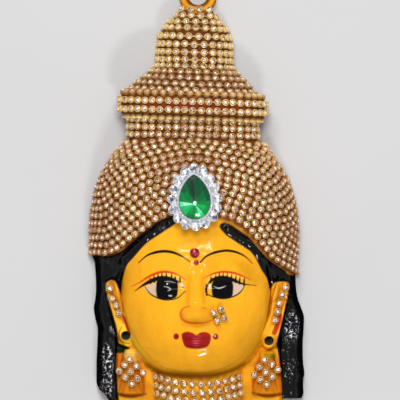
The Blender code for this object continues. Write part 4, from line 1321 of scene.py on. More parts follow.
        coats += [
            Stroke(lid_left, 1.0, INK, (0.22, 0.3), 0.09),
            Stroke(lid_right, 0.98, INK, (0.4, 0.15), 0.09),
            Patch(((-3.9, 28.9), (-3.2, 28.6), (-2.7, 28.0), (-3.4, 28.1)), GLINT, 0.15, 0.8),
            Patch(((2.95, 28.4), (3.3, 28.6), (3.5, 27.9), (3.1, 27.4)), GLINT, 0.15, 0.8),
            Stroke(
                ((-7.3, 28.0), (-6.4, 27.8), (-5.8, 27.3), (-6.4, 27.0)),
                0.16, GLINT, (0.3, 0.6), 0.1, 0.85,
            ),
            Stroke(((-6.2, 25.9), (-5.5, 25.8)), 0.26, GLINT, (0.6, 0.6), 0.12, 0.8),
            Stroke(((-7.1, 29.2), (-5.8, 29.1), (-4.7, 28.8)), 0.12, GLINT, (0.3, 0.3), 0.1, 0.6),
            Stroke(
                ((4.2, 28.0), (5.2, 27.6), (6.2, 27.8), (6.9, 28.1)),
                0.18, GLINT, (0.3, 0.3), 0.1, 0.85,
            ),
        ]
        return coats

    def nose_and_mouth(self) -> Coats:
        """Orange-red nose line, crimson lips with painted highlights on their ridges, and a dot beside each
        corner.
        """
        nose = (
            (-1.4, 23.4), (-2.7, 23.1), (-3.5, 21.8), (-3.0, 20.4), (-1.5, 19.7), (0.4, 19.6),
            (2.3, 19.7), (3.8, 20.3),
        )
        lips = (
            (-3.2, 16.4), (-3.1, 17.2), (-1.8, 17.6), (-0.7, 17.3), (0.2, 16.8), (1.1, 17.4),
            (2.3, 17.5), (3.3, 17.0), (3.5, 16.1), (3.3, 15.0), (2.5, 14.0), (0.2, 13.6), (-2.1, 13.9),
            (-2.9, 15.0),
        )
        coats: Coats = [
            Stroke(nose, 0.48, linear(226, 84, 18), (0.5, 0.5), 0.14),
            Stroke(
                ((1.3, 22.9), (2.0, 23.1), (2.8, 22.6)),
                0.30, linear(226, 92, 18), (0.4, 0.4), 0.12, 0.8,
            ),
            Patch(
                ((-3.4, 22.4), (-3.6, 21.6), (-3.1, 20.6), (-2.8, 21.6)),
                linear(236, 120, 30), 0.25, 0.6,
            ),
            Patch(lips, CRIMSON, 0.10),
        ]
        for x, h in ((-4.5, 16.45), (4.6, 16.4)):
            dot = ((-0.65, 0), (-0.35, 0.62), (0.35, 0.62), (0.65, 0), (0.35, -0.62), (-0.35, -0.62))
            coats.append(Patch(tuple((x + across, h + up) for across, up in dot), CRIMSON, 0.08))
        # Painted highlights: lighter strokes across the lips.
        for level, reach in ((16.0, 0.9), (15.4, 1.0), (14.9, 0.9), (14.4, 0.7)):
            ridge = ((0.1 - reach, level + 0.12), (0.1, level - 0.02), (0.1 + reach, level + 0.12))
            coats.append(Stroke(ridge, 0.16, linear(226, 96, 110), (0.2, 0.2), 0.1, 0.7))
        return coats

    def hair(self) -> list[Patch]:
        """The black hair on both sides, as areas that also mask its gloss."""
        return [Patch(path, (1.0, 1.0, 1.0), 0.12) for path in (self.hair_left, self.hair_right)]


# The painted cast


@dataclass(frozen=True)
class PaintedCast:
    """The hollow cast with its finer relief, its paint and its hanging loop."""

    form: CastForm = CastForm()
    paint: FacePaint = FacePaint()
    finish: Enamel = Enamel()
    face_columns: int = 236
    side_columns: int = 12
    face_share: float = 0.87
    rows: tuple = ((0.0, 13.0, 54), (13.0, 36.8, 162), (36.8, 46.0, 36), (46.0, 93.1, 70))
    cavity_size: tuple[int, int] = (44, 84)
    loop_at: tuple[float, float] = (0.5, 95.6)
    loop_radius: float = 0.0081
    loop_hole_radius: float = 0.0042
    loop_thickness: float = 0.0042
    loop_sides: int = 48
    ear_hole_radius: float = 0.0020
    hole_sides: int = 24
    crease: float = math.radians(55)
    ear_holes: Path = ((-16.2, 16.5), (17.0, 15.3))
    yellow: Colour = linear(248, 175, 34)
    crown_brown: Colour = linear(122, 70, 34)
    crown_brick: Colour = linear(142, 52, 38)
    crown_gold: Colour = linear(196, 122, 44)
    loop_yellow: Colour = linear(246, 166, 36)
    loop_edge_shade_brown: Colour = linear(104, 50, 10)
    inner_brown: Colour = linear(120, 84, 40)
    red_line: float = 69.6

    def relief(self, x: Array, h: Array) -> Array:
        """Finer relief: strands and curls in the hair, a groove over each eye, faint brushed waves.

        Args:
            x: places across.
            h: places up.

        Returns:
            The relief in hundredths.
        """
        hair = self.on_hair(x, h)
        strands = 0.10 * ripple(x, 0.35 * h, 1.5, 3) + 0.10 * ripple(x, h, 4.0, 4)
        curls = 0.42 * np.abs(ripple(x, h, 1.5, 5, 9)) * self.form.crinkle(x, h)
        grooves = 0
        for eye_x, eye_h in self.form.eyes:
            arc = ((eye_x - 6.0, eye_h + 1.2), (eye_x, eye_h + 3.6), (eye_x + 6.0, eye_h + 1.2))
            away, _ = along_path(x, h, rounded(arc))
            grooves = grooves - 0.06 * np.exp(-((away / 0.5) ** 2))
        brushed = 0.015 * ripple(x, h, 9.0, 6) + 0.008 * ripple(0.6 * x, h, 1.5, 8, 11)
        return hair * (strands + curls) + grooves + brushed

    def on_hair(self, x: Array, h: Array) -> Array:
        """1 on the black hair, 0 elsewhere."""
        return np.maximum(*(coat.cover(x, h) for coat in self.paint.hair()))

    def on_crown(self, x: Array, h: Array) -> Array:
        """1 on the crown, 0 below its edge."""
        return ease(-0.1, 0.4, h - self.form.edge_of_crown(x))

    def grid(self, across: Array, levels: Array, inset: float) -> tuple[Array, Array]:
        """Places on the cast: x by a share of the half width on each level.

        Args:
            across: shares from -1 to 1.
            levels: levels in hundredths.
            inset: how far to stay inside the outline.

        Returns:
            x and h of each place.
        """
        h = levels[:, None]
        left = column(self.form.outline, 1, h) + inset
        right = column(self.form.outline, 2, h) - inset
        x = (left + right) / 2 + (right - left) / 2 * across[None, :]
        h = h + self.form.lower_end(x) * np.clip(1 - h / 12.0, 0, 1)
        return x, h - self.form.tilt(h) * x

    def fine_places(self) -> tuple[Array, Array]:
        """Places closest together over the face, by even columns there and a sine beyond.

        Returns:
            x and h of each place.
        """
        face = np.linspace(-self.face_share, self.face_share, self.face_columns)
        beyond = np.sin(np.linspace(0, math.pi / 2, self.side_columns + 1)[1:])
        side = self.face_share + (1 - self.face_share) * beyond
        across = np.concatenate([-side[::-1], face, side])
        stations = [row[0] for row in self.form.crown if 60 < row[0] < self.form.top]
        levels = [np.linspace(low, high, count, endpoint=False) for low, high, count in self.rows]
        levels = np.unique(np.round(np.concatenate([*levels, stations, [self.form.top]]), 4))
        return self.grid(across, levels, 0.0)

    def under(self, name: str, grid: Array, floor: float) -> bpy.types.Object:
        """A closed solid under a grid of points, down to a flat floor.

        Args:
            name: the solid's name.
            grid: rows and columns of points.
            floor: level of its underside in metres.

        Returns:
            The solid.
        """
        rows, columns = grid.shape[:2]
        place = np.arange(rows * columns).reshape(rows, columns)
        top = np.stack([place[:-1, :-1], place[:-1, 1:], place[1:, 1:], place[1:, :-1]], -1).reshape(-1, 4)
        border = np.concatenate([place[0, :-1], place[:-1, -1], place[-1, :0:-1], place[:0:-1, 0]])
        points = grid.reshape(-1, 3)
        feet = points[border] * (1, 1, 0) + floor * UP
        foot = rows * columns + np.arange(len(border))
        sides = np.stack([border, foot, np.roll(foot, -1), np.roll(border, -1)], -1)
        return new_mesh(name, np.concatenate([points, feet]), [top, sides, foot[None, ::-1]], [])

    def cavity(self) -> bpy.types.Object:
        """The hollow: the outer form lowered by the wall on every side, by the least of near heights.

        Returns:
            The solid to take away.
        """
        wall = self.form.wall
        columns, rows = self.cavity_size
        even = np.linspace(-1, 1, columns)
        across = np.sin(np.radians(90 * (0.72 * even + 0.28 * even**3)))
        levels = np.linspace(wall, self.form.top - wall, rows)
        x, h = self.grid(across, levels, wall)
        low = self.form.height(x, h)
        for reach in (0.6, 1.0):
            fall = wall * (1 - math.sqrt(max(0.0, 1 - reach**2)))
            for turn in turns(12):
                aside, up = reach * wall * math.cos(turn), reach * wall * math.sin(turn)
                low = np.minimum(low, self.form.height(x + aside, h + up) + fall)
        return self.under("cavity", to_metres(x, h, np.maximum(low - wall, -0.5)), -0.004)

    def loop(self) -> bpy.types.Object:
        """The hanging loop: a small rounded profile carried round a circle.

        Returns:
            The solid to add.
        """
        middle = (self.loop_radius + self.loop_hole_radius) / 2
        half = (self.loop_radius - self.loop_hole_radius) / 2
        top = self.loop_thickness
        profile = [(middle - half, 0.0), (middle + half, 0.0)]
        for t in np.linspace(0, math.pi, 7):
            profile.append((middle + half * math.cos(t), top * (0.55 + 0.45 * math.sin(t))))
        radius, level = np.array(profile).T
        sides = self.loop_sides
        angles = turns(sides)[:, None]
        ring = np.stack(np.broadcast_arrays(radius * np.cos(angles), radius * np.sin(angles), level), -1)
        points = (to_metres(*self.loop_at, 0.0) + ring).reshape(-1, 3)
        count = len(profile)
        n, k = np.meshgrid(np.arange(sides), np.arange(count), indexing="ij")
        after, beside = (n + 1) % sides, (k + 1) % count
        quads = np.stack([n * count + k, after * count + k, after * count + beside, n * count + beside], -1)
        return new_mesh("loop", points, [quads.reshape(-1, 4)[:, ::-1]], [])

    def ear_hole(self, at: Sequence[float]) -> bpy.types.Object:
        """A round cutter through an ear lobe.

        Args:
            at: the hole's place.

        Returns:
            The solid to take away.
        """
        rings = [circle(self.ear_hole_radius, level, self.hole_sides) for level in (-0.001, 0.06)]
        points = to_metres(*at, 0.0) + np.concatenate(rings)
        return new_mesh("ear_hole", points, closed_rings(2, self.hole_sides), [])

    def floor_cutter(self) -> bpy.types.Object:
        """A box under the back plane, its top in small squares so that no face is cut into a ring."""
        x, y = np.meshgrid(np.linspace(-0.06, 0.06, 61), np.linspace(-0.11, 0.11, 111))
        return self.under("floor_cutter", np.stack([x, y, 0 * x], -1), -0.02)

    def joined(self) -> bpy.types.Object:
        """The cast with loop, cavity and ear holes, as one closed mesh.

        Returns:
            The piece, without its paint.
        """
        x, h = self.fine_places()
        height = np.maximum(self.form.height(x, h), self.form.rim)
        fade = ease(0.0, 1.5, height - self.form.rim)
        body = self.under("painted_cast", to_metres(x, h, height + fade * self.relief(x, h)), -0.002)
        steps = [(self.loop(), "UNION"), (self.cavity(), "DIFFERENCE")]
        steps += [(self.ear_hole(at), "DIFFERENCE") for at in self.ear_holes]
        steps.append((self.floor_cutter(), "DIFFERENCE"))
        for other, operation in steps:
            cut = body.modifiers.new(operation.lower(), "BOOLEAN")
            cut.object, cut.operation, cut.solver = other, operation, "MANIFOLD"
        ready = body.evaluated_get(bpy.context.evaluated_depsgraph_get())
        whole = bpy.data.meshes.new_from_object(ready)
        body.modifiers.clear()
        body.data = whole
        for other, _ in steps:
            bpy.data.objects.remove(other)
        return body

    def colours(self, x: Array, h: Array) -> Array:
        """The paint's colour at each place, before the hair.

        Args:
            x: places across.
            h: places up.

        Returns:
            One colour for each place.
        """
        colours = np.tile(np.array(self.yellow), (len(x), 1))
        lay_on(colours, self.paint.painted_shade_light_and_smudges(), x, h)
        lay_on(colours, self.paint.ears_and_bells(), x, h)
        brick = ease(0.1, 0.8, ripple(x, h, 3.2, 21)) * 0.75
        gold = ease(0.2, 0.9, ripple(x, h, 2.6, 22)) * 0.6
        crown = blend(blend(np.array(self.crown_brown), self.crown_brick, brick), self.crown_gold, gold)
        # Painted shade: the crown base darker from the collar up, in the close gaps between cups.
        crown = crown * (1 - 0.3 * ease(60.0, 66.0, h))[:, None]
        away = np.abs(h + self.form.tilt(h) * x - self.red_line)
        on_line = ease(0.45, 0.25, away) * ease(15.0, 9.0, np.abs(x))
        return blend(blend(colours, crown, self.on_crown(x, h)), linear(146, 40, 30), on_line)

    def build(self) -> None:
        """Makes the mesh, paints it and says how it shines."""
        body = self.joined()
        mesh = body.data
        co, slope = np.empty((2, 3 * len(mesh.vertices)), np.float32)
        mesh.vertices.foreach_get("co", co)
        mesh.vertices.foreach_get("normal", slope)
        x, h, z = (co.reshape(-1, 3) / HUNDREDTH + (0, 50, 0)).T.astype(float)
        ends = np.maximum(ease(-3.0, -5.0, x), ease(14.0, 17.0, x))
        hair = self.on_hair(x, h) * ease(1.15, 0.85, h - self.form.edge_of_crown(x) - 0.8 * ends)
        colours = blend(self.colours(x, h), BLACK, hair)
        lay_on(colours, self.paint.lines(), x, h)
        away = np.hypot(x - self.loop_at[0], h - self.loop_at[1])
        # Painted shade: brown at the loop's rounded inner and outer edges.
        groove = 0.9 * (ease(3.15, 2.85, away) + 0.7 * ease(3.9, 4.2, away))
        loop_colour = blend(np.array(self.loop_yellow), self.loop_edge_shade_brown, groove)
        colours = blend(colours, loop_colour, ease(4.6, 4.3, away))
        inside = ease(0.7, 1.1, self.form.height(x, h) - z) * ease(4.6, 4.8, away)
        set_colour(body, "paint", blend(colours, self.inner_brown, inside))
        outside = {
            "steep": ease(0.80, 0.50, slope[2::3].astype(float)),
            "hair": hair,
            "crinkle": hair * (0.08 + 0.9 * self.form.crinkle(x, h)),
        }
        for name, values in outside.items():
            set_values(body, name, "POINT", values * (1 - inside))
        set_values(body, "bare", "POINT", np.maximum(inside, 0.45 * self.on_crown(x, h)))
        mesh.materials.clear()
        mesh.materials.append(self.finish.material())
        mesh.polygons.foreach_set("use_smooth", np.ones(len(mesh.polygons), bool))
        mesh.set_sharp_from_angle(angle=self.crease)
        settle(body, "mask_body", Slot.CAST)


# Chains


class Parts:
    """Shapes gathered before they become one mesh, each face with a material and a tone."""

    def __init__(self) -> None:
        """Nothing gathered yet."""
        self.count = 0
        self.points: list[Array] = []
        self.depth: list[Array] = []
        self.faces: list[Array] = []
        self.material: list[Array] = []
        self.tone: list[Array] = []
        self.smooth: list[Array] = []

    def add(
        self,
        shape: Array,
        faces: Sequence[Array],
        depth: Array,
        origins: Array,
        axes: Array,
        material: int = 0,
        tone: Callable[[tuple[int, int]], Array] | None = None,
    ) -> None:
        """Adds copies of a shape: each point is its origin plus its three coordinates along the axes.

        Args:
            shape: the shape's points.
            faces: its faces, one array for each count of corners.
            depth: a number for each of its points.
            origins: where each copy stands.
            axes: three directions for each copy.
            material: the material's number; above 0 the faces are flat facets.
            tone: gives a tone to each copy's faces.
        """
        copies, size = len(origins), len(shape)
        self.points.append((origins[:, None] + np.einsum("pk,nkj->npj", shape, axes)).reshape(-1, 3))
        self.depth.append(np.tile(depth, copies))
        starts = self.count + size * np.arange(copies)
        for face in faces:
            self.faces.append((starts[:, None, None] + face[None]).reshape(-1, face.shape[1]))
            total = copies * len(face)
            self.material.append(np.full(total, material))
            self.smooth.append(np.full(total, material == 0))
            self.tone.append(tone((copies, len(face))).ravel() if tone else np.zeros(total))
        self.count += copies * size

    def settled(self, node: str, materials: Sequence[bpy.types.Material], slot: Slot) -> None:
        """Makes the piece of a CAD node, with depth and tone stored on its mesh.

        Args:
            node: the node that the piece stands for.
            materials: its materials.
            slot: the record's slot.
        """
        stacks = (self.points, self.material, self.smooth, self.depth, self.tone)
        points, material, smooth, depth, tone = (np.concatenate(stack) for stack in stacks)
        whole = new_mesh("dressed_" + node, points, self.faces, materials, material, smooth)
        set_values(whole, "depth", "POINT", depth)
        set_values(whole, "tone", "FACE", tone)
        whole.data.set_sharp_from_angle(angle=math.radians(50))
        settle(whole, node, slot)


@dataclass(frozen=True)
class Cup:
    """A round metal cup with four prongs and one faceted stone, on flat links.

    Each ring is its share of the radius, its share of the height and what a prong adds to that.
    """

    diameter: float = 0.00296
    height: float = 0.0022
    sides: int = 12
    facets: int = 7
    stone_share: float = 0.68
    table_share: float = 0.36
    link_width: float = 0.0006
    link_height: float = 0.0005
    rings: tuple = (
        (0.86, 0.0, 0.0), (1.0, 0.34, 0.0), (0.97, 0.82, 0.08), (0.84, 0.86, 0.12), (0.77, 0.56, 0.0),
    )

    def metal(self) -> Shape:
        """Rings from foot to lip to the well under the stone; every third point of the lip is a prong.

        Returns:
            Points, faces, and how high each point is, 0 to 1.
        """
        prong = (np.arange(self.sides) % 3 == 1).astype(float)
        r, top = self.diameter / 2, self.height
        levels = [(level + more * prong) * top for _, level, more in self.rings]
        rows = [circle(ring[0] * r, level, self.sides) for ring, level in zip(self.rings, levels)]
        points = np.concatenate(rows)
        depth = points[:, 2] / top
        # The well under the stone is marked low, so that the metal's painted shade darkens it.
        depth[-self.sides :] = 0.1
        return points, closed_rings(len(rows), self.sides), depth

    def stone(self) -> Shape:
        """A girdle ring, a table ring turned by half a step, and triangles between them.

        Returns:
            Points, faces, and zeros.
        """
        count = self.facets
        low = circle(self.stone_share * self.diameter / 2, 0.70 * self.height, count)
        high = circle(self.table_share * self.diameter / 2, 0.97 * self.height, count, math.pi / count)
        n = np.arange(count)
        after = (n + 1) % count
        up = np.stack([n, after, count + n], -1)
        down = np.stack([count + n, after, count + after], -1)
        caps = np.concatenate([cap(0, count, False), cap(count, count, True)])
        return np.concatenate([low, high]), [np.concatenate([up, down]), caps], np.ones(2 * count)

    def link(self) -> Shape:
        """A flat bar one unit long, between 0.2 and 0.8 of its length.

        Returns:
            Points, faces, and how high each point is.
        """
        w, low, high = self.link_width / 2, 0.28 * self.height, 0.28 * self.height + self.link_height
        corners = ((0.2, -w), (0.8, -w), (0.8, w), (0.2, w))
        points = np.array([(x, y, z) for z in (low, high) for x, y in corners])
        # The link is marked low, so that the metal's painted shade darkens it between the cups.
        return points, [np.concatenate(closed_rings(2, 4))], np.repeat([0.1, 0.35], 4)


@dataclass
class CupChains:
    """Every length of cup chain, each a piece that stands for one CAD node."""

    form: CastForm
    gilt: bpy.types.Material
    crystal: bpy.types.Material
    cup: Cup = Cup()
    pitch: float = 0.0037
    close_pitch: float = 0.0034
    hidden_rows: tuple = (("crown_skirt_chain_5", 71.9), ("crown_flange_chain_2", 67.36))
    patch_step: float = 0.0039
    row_gap: float = 0.00008
    patch_pitch: float = 0.0034
    sink: float = 0.0001
    slope_step: float = 0.0004
    wobble: float = 0.07
    twist: float = 0.08
    drift: float = 0.00010
    lowest: float = 0.0022
    dome_top: float = 62.0
    most_rows: int = 60
    shortest_row: int = 14
    most_sweeps: int = 120
    smoothing: tuple = (0.1, 0.2, 0.4, 0.2, 0.1)
    draw: np.random.Generator = field(default_factory=lambda: np.random.default_rng(SEED))
    tiers: tuple = (
        ("finial", 92.8, 86.7),
        ("drum", 86.6, 79.4),
        ("skirt", 79.3, 72.2),
        ("flange", 71.65, 67.55),
        ("collar", 67.15, 62.1),
    )
    brow_row: tuple = (
        (-112, 35.9), (-55, 35.9), (-45, 37.4), (-30, 41.3), (-17, 44.7), (0, 45.8), (17, 44.8),
        (28, 43.1), (40, 38.5), (50, 34.8), (62, 32.9), (78, 31.5), (112, 30.3),
    )
    necklace: tuple = ((5.3, "necklace_row_1"), (3.35, "necklace_row_2"), (1.45, "necklace_row_3"))
    necklace_pitch: float = 0.00358
    necklace_sag: float = 2.0
    necklace_reach: float = 10.0
    ear_chains: tuple = (
        ("ear_chain_left", (-19.58, 27.43), (-18.01, 21.69), 4),
        ("ear_chain_right", (20.53, 27.80), (18.22, 20.14), 5),
    )
    patches: tuple = (
        ("nose_stones", 4.98, 21.43, -65, 2, 2),
        ("ear_flower_left", -15.05, 8.15, -45, 3, 3),
        ("ear_flower_right", 16.25, 8.05, 53, 3, 3),
    )

    @property
    def row_pitch(self) -> float:
        """Distance between neighbouring rows."""
        return self.cup.diameter + self.row_gap

    def dome_point(self, turn: Array, h: Array) -> Array:
        """The dome's surface, carried on straight up behind the collar."""
        level = np.minimum(h, self.dome_top)
        return self.form.crown_point(turn, level) + to_metres(0.0, 50.0 + h - level, 0.0)

    def normal(self, surface: Surface, u: Array, v: Array) -> Array:
        """Outward direction: the cross product of the surface's two slopes.

        Args:
            surface: the surface.
            u: its first parameter.
            v: its second parameter.

        Returns:
            The unit directions.
        """
        small = 1e-3
        along_u = surface(u + small, v) - surface(u - small, v)
        along_v = surface(u, v + small) - surface(u, v - small)
        return unit(np.cross(along_u, along_v))

    def respaced(self, surface: Surface, u: Array, v: Array, count: int) -> tuple[Array, Array]:
        """The same line with its places evenly spaced.

        Args:
            surface: the surface that the line lies on.
            u: the line's first parameter.
            v: the line's second parameter.
            count: how many places.

        Returns:
            Both parameters of each place.
        """
        run = run_of(surface(u, v))
        at = np.linspace(0, run[-1], count)
        return np.interp(at, run, u), np.interp(at, run, v)

    def walk_field(self, start_u: Array, start_v: Array, u: Array, v: Array) -> Array:
        """Shortest way over the dome from a start line: the least sum of steps between grid points.

        Args:
            start_u: turns of the start line.
            start_v: levels of the start line.
            u: turns of a grid.
            v: levels of the grid.

        Returns:
            The way in metres to each grid point, 0 below the start line.
        """
        points = self.dome_point(u, v)
        line = self.dome_point(start_u, start_v)
        away = np.linalg.norm(points[:, :, None] - line[None, None], axis=-1).min(-1)
        above = v >= np.interp(u, start_u, start_v)
        walk = np.where((away < 1.2 * self.row_pitch) & above, away, 1.0)
        rows, columns = u.shape
        reach = range(-3, 4)
        steps = [(i, j) for i in reach for j in reach if math.gcd(i, j) == 1]
        for _ in range(self.most_sweeps):
            before = walk.copy()
            for across, up in steps:
                here = (overlap(up, rows), overlap(across, columns))
                there = (overlap(-up, rows), overlap(-across, columns))
                length = np.linalg.norm(points[here] - points[there], axis=-1)
                walk[here] = np.minimum(walk[here], walk[there] + length)
            if np.abs(before - walk).max() < 1e-7:
                break
        return np.where(above, walk, 0)

    def tier_rows(self) -> Iterator[tuple[str, Array, Array]]:
        """Level rows round each upper tier: name, turns and levels."""
        dense = np.linspace(-math.pi / 2, math.pi / 2, 121)
        for name, high, low in self.tiers:
            steps = np.linspace(high, low, 60)
            run = run_of(self.form.crown_point(np.zeros(60), steps))
            count = max(1, int(run[-1] / self.row_pitch))
            for n in range(count):
                at = np.interp((n + 0.5) * run[-1] / count, run, steps)
                yield f"crown_{name}_chain_{n + 1}", dense, np.full(dense.shape, at)

    def dome_rows(self) -> Iterator[tuple[str, Array, Array]]:
        """Rows over the dome, each one chain further from the brow row: name, turns and levels."""
        turn = np.radians([row[0] for row in self.brow_row])
        start = np.linspace(turn[0], turn[-1], 241)
        brow = smooth_through(turn, [row[1] for row in self.brow_row], start)
        columns = np.linspace(turn[0], turn[-1], 97)
        levels = np.linspace(self.brow_row[-1][1], self.dome_top + 4, 100)
        u, v = np.meshgrid(columns, levels)
        walk = self.walk_field(start, brow, u, v)
        half_cup = 0.5 * (self.row_pitch - 0.0003) / HUNDREDTH
        for number in range(self.most_rows):
            away = number * self.row_pitch
            reached = [np.interp(away, np.maximum.accumulate(way), levels) for way in walk.T]
            if number == 0:
                reached = np.interp(columns, start, brow)
            reached = np.convolve(np.pad(reached, 2, "edge"), self.smoothing, "valid")
            line = np.interp(start, columns, reached)
            at, line = self.respaced(self.dome_point, start, line, 321)
            over_rim = self.dome_point(at, line)[:, 2]
            keep = (over_rim > self.lowest) & (np.abs(at) < math.pi / 2) & (line < self.dome_top - half_cup)
            edges = np.flatnonzero(np.diff(np.concatenate([[0], keep.astype(int), [0]])))
            found = [(a, b) for a, b in zip(edges[::2], edges[1::2] - 1) if b - a > self.shortest_row]
            for part, (first, last) in enumerate(found):
                letter = "" if len(found) == 1 else "ab"[part]
                span = slice(first, last + 1)
                yield f"crown_dome_chain_{number + 1:02d}{letter}", at[span], line[span]

    def along_row(self, surface: Surface, u: Array, v: Array, pitch: float) -> tuple[Array, Array, Array]:
        """Cups at even steps along a line on a surface.

        Args:
            surface: the surface, as a function of two parameters.
            u: the line's first parameter.
            v: the line's second parameter.
            pitch: distance from cup to cup.

        Returns:
            Middle of each cup's foot, its outward direction and its direction along the line.
        """
        u, v = self.respaced(surface, u, v, 400)
        run = run_of(surface(u, v))
        margin = 0.5 * self.cup.diameter
        count = 1 + int((run[-1] - 2 * margin) / pitch)
        spare = run[-1] - 2 * margin - (count - 1) * pitch
        at = margin + spare * self.draw.uniform(0.2, 0.8) + pitch * np.arange(count)
        at = at + self.draw.normal(0, self.drift, count)
        place_u, place_v = np.interp(at, run, u), np.interp(at, run, v)
        points = surface(place_u, place_v)
        normal = self.normal(surface, place_u, place_v)
        beside = [at + step for step in (self.slope_step, -self.slope_step)]
        ahead, behind = (surface(np.interp(place, run, u), np.interp(place, run, v)) for place in beside)
        return points - self.sink * normal, normal, unit(ahead - behind)

    def place_rows(
        self, name: str, surface: Surface, lines: Sequence[tuple[Array, Array]], pitch: float
    ) -> None:
        """One piece of one row of cups or more.

        Args:
            name: the CAD node that the piece stands for.
            surface: the surface, as a function of two parameters.
            lines: both parameters along each row.
            pitch: distance from cup to cup.
        """
        rows = [self.along_row(surface, u, v, pitch) for u, v in lines]
        pairs, first = [], 0
        for row in rows:
            pairs += [(first + n, first + n + 1) for n in range(len(row[0]) - 1)]
            first += len(row[0])
        feet, normal, along = (np.concatenate(part) for part in zip(*rows))
        self.place_cups(name, feet, normal, along, pairs)

    def place_cups(
        self, name: str, feet: Array, normal: Array, along: Array, pairs: Sequence[tuple[int, int]]
    ) -> None:
        """One piece of cups, stones and links.

        Args:
            name: the CAD node that the piece stands for.
            feet: middle of each cup's foot.
            normal: each cup's outward direction.
            along: each cup's direction along the chain.
            pairs: cups that a link joins.
        """
        count = len(feet)
        lean = normal + self.draw.normal(0, self.wobble, (count, 3)) * (1.0, 1.0, 0.5)
        up = unit(lean)
        first = unit(along + self.draw.normal(0, self.twist, (count, 3)))
        first = unit(first - (first * up).sum(-1, keepdims=True) * up)
        axes = standing(first, up)
        parts = Parts()
        parts.add(*self.cup.metal(), feet, axes)
        parts.add(*self.cup.stone(), feet, axes, 1, lambda size: self.draw.random(size) ** 0.85)
        if pairs:
            a, b = np.array(pairs).T
            reach = feet[b] - feet[a]
            middle = unit(normal[a] + normal[b])
            bars = np.stack([reach, unit(np.cross(middle, reach)), middle], 1)
            parts.add(*self.cup.link(), feet[a], bars)
        parts.settled(name, [self.gilt, self.crystal], Slot.GILT)

    def straight(self, name: str, first: Sequence[float], last: Sequence[float], count: int) -> None:
        """A short length of chain straight down the ear.

        Args:
            name: the CAD node that the piece stands for.
            first: the first cup's place.
            last: the last cup's place.
            count: how many cups.
        """
        steps = zip(np.linspace(first[0], last[0], count), np.linspace(first[1], last[1], count))
        seats = [self.form.seat(x, h, 0.5 * self.cup.diameter, 0.0001) for x, h in steps]
        feet, normal = (np.array(part) for part in zip(*seats))
        along = np.tile(unit(feet[-1] - feet[0]), (count, 1))
        self.place_cups(name, feet, normal, along, [(n, n + 1) for n in range(count - 1)])

    def patch(self, name: str, x: float, h: float, turn: float, lengths: int, cups: int) -> None:
        """Short lengths of chain side by side, flat over the cast.

        Args:
            name: the CAD node that the patch stands for.
            x: middle across.
            h: middle up.
            turn: turn of the lengths in degrees.
            lengths: how many lengths.
            cups: how many cups in each.
        """
        angle = math.radians(turn)
        reach = 0.5 * max(lengths - 1, cups - 1) * self.patch_step
        normal = self.form.seat(x, h, reach)[1] if name == "nose_stones" else UP
        side = unit(np.cross((0.0, 1.0, 0.0), normal))
        other = np.cross(normal, side)
        first = math.cos(angle) * side + math.sin(angle) * other
        second = math.cos(angle) * other - math.sin(angle) * side
        along = (np.arange(cups) - (cups - 1) / 2) * self.patch_step
        aside = (np.arange(lengths) - (lengths - 1) / 2) * self.patch_pitch
        middle = self.form.point(x, h)
        spots = np.array([middle + a * first + b * second for b in aside for a in along])
        places = spots[:, :2] / HUNDREDTH + (0, 50)
        seats = [self.form.seat(px, ph, 0.5 * self.cup.diameter)[0] for px, ph in places]
        rise = max(float((seat - spot) @ normal) for seat, spot in zip(seats, spots))
        feet = spots + normal * (rise - 0.0002)
        pairs = [(row * cups + n, row * cups + n + 1) for row in range(lengths) for n in range(cups - 1)]
        pairs += [(row * cups + cups // 2, (row + 1) * cups + cups // 2) for row in range(lengths - 1)]
        count = len(spots)
        self.place_cups(name, feet, np.tile(normal, (count, 1)), np.tile(first, (count, 1)), pairs)

    def build(self) -> None:
        """All rows of the crown and the neck, then the ears and the nose."""
        for name, u, v in (*self.tier_rows(), *self.dome_rows()):
            close = "flange" in name or "collar" in name
            lines = [(u, v)] + [(u, 0 * v + level) for piece, level in self.hidden_rows if piece == name]
            self.place_rows(name, self.form.crown_point, lines, self.close_pitch if close else self.pitch)
        for h, name in self.necklace:
            x = np.linspace(-self.necklace_reach, self.necklace_reach, 61)
            level = h + self.necklace_sag * (x / self.necklace_reach) ** 2
            lines = [(x + self.form.neck_x, level)]
            self.place_rows(name, self.form.neck_point, lines, self.necklace_pitch)
        for name, first, last, count in self.ear_chains:
            self.straight(name, first, last, count)
        for row in self.patches:
            self.patch(*row)


def overlap(shift: int, count: int) -> slice:
    """The part of a row of places that still has a partner when the row is shifted."""
    return slice(max(0, shift), count + min(0, shift))


# Bindi stones


@dataclass(frozen=True)
class Bindis:
    """Two faceted red stones on the brow."""

    form: CastForm
    red: bpy.types.Material
    stones: tuple = (("bindi_large", (-0.23, 35.7), 0.0043), ("bindi_small", (0.14, 33.5), 0.0022))
    rise_share: float = 0.32
    facets: int = 9

    def build(self) -> None:
        """Rings of facets from the girdle up to a small table."""
        draw = np.random.default_rng(SEED + 5)
        for name, at, diameter in self.stones:
            centre, normal = self.form.seat(at[0], at[1], diameter / 2)
            rise = self.rise_share * diameter
            radii = ((1.0, -0.0003), (1.0, 0.12 * rise), (0.95, 0.4 * rise), (0.45, rise))
            rings = [circle(share * diameter / 2, level, self.facets) for share, level in radii]
            shape = np.concatenate(rings)
            axes = standing(unit(np.cross((0.0, 1.0, 0.0), normal))[None], normal[None])
            parts = Parts()
            faces = closed_rings(len(radii), self.facets)
            parts.add(shape, faces, np.ones(len(shape)), centre[None], axes, 1, draw.random)
            parts.settled(name, [self.red, self.red], Slot.BINDI)


# Brooch


